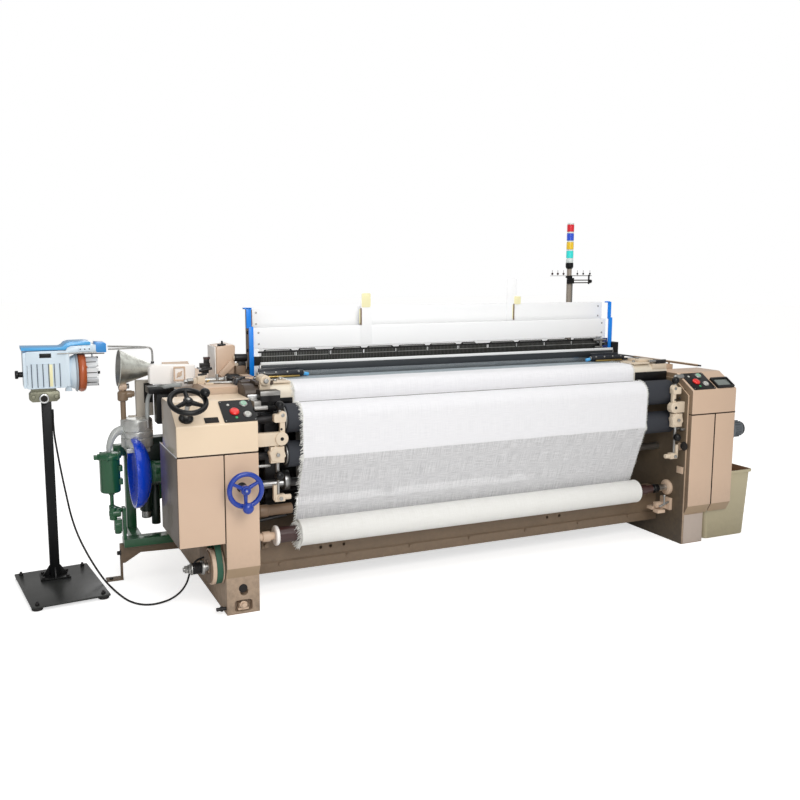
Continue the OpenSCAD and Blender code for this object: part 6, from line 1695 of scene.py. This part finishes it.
def make_jet_nozzle():
    (Form().bar((-1446, JET_Y, 1068), (-1296, JET_Y, 1067), 13, 28)
     .bar((-1250, JET_Y, 1066), (-1166, JET_Y, 1064), 12, 24)
     .hexagon((-1514, JET_Y, 1066), (-1482, JET_Y, 1066), 17)
     .bar((-1530, JET_Y, 1066), (-1500, JET_Y, 1066), 11, 24)
     .bar((-1360, 530, 1040), (-1360, 530, 1096), 8, 20).bar((-1318, 520, 1040), (-1318, 520, 1086), 7, 20)
     .use(1).bar((-1302, JET_Y, 1068), (-1246, JET_Y, 1067), 26)
     .hexagon((-1312, JET_Y, 1068), (-1300, JET_Y, 1068), 30)
     .hexagon((-1250, JET_Y, 1061), (-1240, JET_Y, 1061), 26)
     .bar((-1270, JET_Y, 1062), (-1270, JET_Y, 1092), 10, 20)
     .use(2).boxes((-1462, 520, 1044, -1424, 560, 1090), (-1484, 528, 1052, -1462, 552, 1080))
     .use(3).hexagon((-1414, JET_Y, 1062), (-1400, JET_Y, 1062), 17)
     .bar((-1186, JET_Y, 1059), (-1166, JET_Y, 1059), 14, 20)
     .piece("jet_nozzle", [PLAIN_STEEL, SOOT_STEEL, CREAM_CAST, BRASS], bevel=1, smooth=35))


def make_shears():
    """The shears beside the cloth, and the shelf and ducts below them."""
    (Form().boxes((-1422, 590, 1096, -1388, 620, 1132), (-1432, 592, 1126, -1380, 616, 1150),
                  (-1410, 592, 1148, -1384, 614, 1172)).bar((-1440, 588, 1110), (-1372, 588, 1122), 7, 16)
     .bar((-1446, 586, 1090), (-1400, 586, 1096), 6, 16).use(1).block((-1412, 590, 1170), (-1380, 612, 1182))
     .use(0).bar((-1250, 600, 1172), (-1182, 600, 1170), 20, 40)
     .block((-1226, 600, 1060), (-1186, 640, 1160))
     .use(2).bar((-1256, 600, 1172), (-1249, 600, 1172), 14, 36)
     .block((-1266, 610, 1108), (-1180, 660, 1140))
     .use(3).boxes((-1300, 580, 1050, -1186, 660, 1090), (-1250, 560, 1050, -1200, 600, 1130))
     .piece("shears_and_lever", [SOOT_STEEL, MAROON_CORE, CREAM_CAST, BROWN_SMALL], bevel=2, smooth=35))
    (Form().boxes((-1466, 330, 1050, -1190, 560, 1056), (-1240, 420, 1056, -1196, 540, 1090))
     .use(1).bar((-1300, 420, 1056), (-1300, 420, 1070), 9, 20)
     .bar((-1420, 470, 1062), (-1260, 440, 1062), 7, 16)
     .use(2).boxes((-1440, 440, 1056, -1400, 480, 1064), (-1290, 380, 1056, -1262, 420, 1066))
     .piece("left_top_shelf", [TAN_SMALL, PLAIN_STEEL, CREAM_CAST], bevel=1.6))
    (Form().boxes((-1690, 640, 996, -1560, 760, 1030), (-1645, 680, 830, -1540, 770, 1010))
     .piece("dark_ducts", BLACK_PLASTIC, bevel=3))


# Signal tower, bin and cable
def make_tower():
    x, y, top = 1367.0, 1300.0, 1636.0
    post = (Form().plate(round_box(90, 80, 6), (x - 45, y - 40, 1050), ALONG_X, ALONG_Y, 10)
            .bar((x, y, 1058), (x, y, top + 2), 17, 40)
            .use(1).bar((x + 24, y, 1058), (x + 24, y, 1558), 7, 24))
    for z in (1538, 1556):
        post.bar((x - 20, y - 22, z), (x + 176, y - 22, z), 4, 18)
    post.bar((x - 20, y - 22, 1587), (x + 176, y - 22, 1587), 2.6, 14)
    for u in (-158, -112, -64, 54, 104, 162):
        post.bar((x + u, y - 22, 1590), (x + u, y - 22, 1626), 1.6, 10)
    (post.bar((x - 176, y - 22, 1587), (x - 20, y - 22, 1587), 1.4, 10)
     .use(2).boxes((x - 30, y - 30, 1572, x + 6, y, 1586), (x - 20, y - 28, 1532, x + 24, y, 1572),
                   (x + 150, y - 27, 1528, x + 158, y - 17, 1594),
                   (x + 158, y - 26, 1540, x + 180, y - 18, 1556)))
    for u in (54, 104, 162):
        post.ball((x + u, y - 22, 1601), 7, 16)
    post.use(3)
    for u in (-158, -112, -64):
        post.ball((x + u, y - 22, 1601), 8, 16)
    post.piece("tower_post_and_rack", [POST_TAN, RACK_STEEL, BLACK_PLASTIC, MAROON_CORE], bevel=0.8,
               replaces=["signal_post"], smooth=35)
    lamps = Form().turned((x, y, top), UP, [(0, 0), (20, 0), (26, 10), (27, 14), (27, 38), (24, 42), (0, 42)],
                          40)
    for k, low in enumerate((74, 135, 196, 257)):
        (lamps.use(2 + k).turned((x, y, top + low), UP, [(0, 0), (22, 0), (25, 2), (25, 49), (22, 51),
            (0, 51)], 40).use(1).turned((x, y, top + low + 51), UP, drum(23.5, 10), 40))
    (lamps.use(1).turned((x, y, top + 42), UP, [(0, 0), (24, 0), (25, 2), (25, 28), (23, 32), (0, 32)], 40)
     .piece("signal_lamp_stack", [BLACK_PLASTIC, *LAMP_LENSES],
            replaces=["signal_lamps"], slot="lamp_lenses", smooth=35))


def make_bin():
    x0, x1, y0, d, h = 1483.0, 1855.0, 18.0, 270.0, 412.0

    def ring_at(z, grow, inset):
        t = z / h
        ax, bx = x0 + 28 * (1 - t) - grow, x1 - 28 * (1 - t) + grow
        ay, by = y0 + 6 * (1 - t) - grow, y0 + d - 20 * (1 - t) + grow
        wide, deep = bx - ax - 2 * inset, by - ay - 2 * inset
        return [(ax + inset + p[0], ay + inset + p[1], z) for p in round_box(wide, deep, 26, 6)]
    rings = [ring_at(0, -6, 0), ring_at(5, 0, 0)] + [ring_at(z, 0, 0) for z in (60, 140, 220, 300, 380, 394)]
    rings += [ring_at(395, 9, 0), ring_at(408, 10, 0), ring_at(411.5, 8, 0), ring_at(412, 2, 0),
              ring_at(408, -2, 0), ring_at(300, -4, 0), ring_at(100, -4, 0), ring_at(8, -6, 0)]
    n = len(rings[0])
    points = [p for ring in rings for p in ring]
    faces = faces_of_rings(len(rings), n)
    inside = 11 * n + 1  # the bottom and the walls up to the rim come first
    (Form().solid(points, faces[:inside]).use(2).solid(points, faces[inside:])
     .use(1).turned((x0 + 60, y0 - 5, 372), TO_FRONT, [(0, 0), (8, 0), (8, 0.6), (0, 0.8)], 20)
     .piece("olive_waste_bin", [BIN_PLASTIC, DEEP_HOLE, BIN_INSIDE], replaces=["waste_bin"], smooth=50))


def make_cable():
    points = [
        (-2145.6, 850, 875.4), (-2145.4, 849, 830), (-2142, 836, 760), (-2125, 796, 610),
        (-2106, 780, 480), (-2088, 752, 368), (-2062, 722, 270), (-2026, 692, 180), (-1984, 668, 96),
        (-1946, 640, 34), (-1918, 580, 9), (-1896, 480, 6), (-1868, 380, 6), (-1828, 312, 6),
        (-1778, 282, 6), (-1722, 284, 8), (-1668, 304, 14), (-1620, 326, 34), (-1588, 334, 72),
        (-1572, 330, 122), (-1554, 326, 166), (-1524, 322, 192), (-1466.5, 322, 200)]
    line = [at(*p) for p in curve_points(points, 8)]
    data = bpy.data.curves.new("feeder_cable_run", "CURVE")
    data.dimensions = "3D"
    data.bevel_depth = 0.005
    data.bevel_resolution = 4
    data.use_fill_caps = True
    run = data.splines.new("POLY")
    run.points.add(len(line) - 1)
    for place, p in zip(run.points, line):
        place.co = (*p, 1)
    run.use_smooth = True
    cable = claim(new_object("feeder_cable_run", data, RUBBER), replaces=["feeder_cable"])


def make_floor():
    """A pale floor that shows white to the camera and still takes a soft shadow."""
    data = bpy.data.meshes.new("Floor")
    data.from_pydata([(-30, -20, 0), (30, -20, 0), (30, 40, 0), (-30, 40, 0)], [], [(0, 1, 2, 3)])
    made, graph, shader = new_material("pale studio floor")
    seen = graph.add("ShaderNodeLightPath")["Is Camera Ray"]
    graph.feed(shader, {"Base Color": (0.9, 0.9, 0.9, 1), "Roughness": 0.9, "Emission Color": WHITE,
                        "Emission Strength": graph.maths("MULTIPLY", seen, 0.62)})
    new_object("Floor", data, made)


for make in (
    make_cable, make_covers, make_control_plates, make_buttons, make_display, make_castings,
    make_blue_wheel, make_black_wheel, make_rollers, make_cloth, make_warp, make_cloth_roll,
    make_heald_frames, make_guides, make_reed_and_sley, make_temples, make_take_up_levers,
    make_side_shafts, make_beam_top, make_drives, make_pump_stand, make_water_tank, make_pump_head,
    make_pump_hoses, make_pump_dish, make_feeder_stand, make_feeder_housing, make_feeder_lid,
    make_feeder_drum, make_guide_rods, make_balloon_cone, make_nozzle_covers, make_jet_nozzle,
    make_shears, make_tower, make_bin, make_floor,
):
    make()

for node_name, thing in nodes.items():
    for place in thing.material_slots:
        place.material = FINISH_OF_SLOT[slot_of[node_name]]
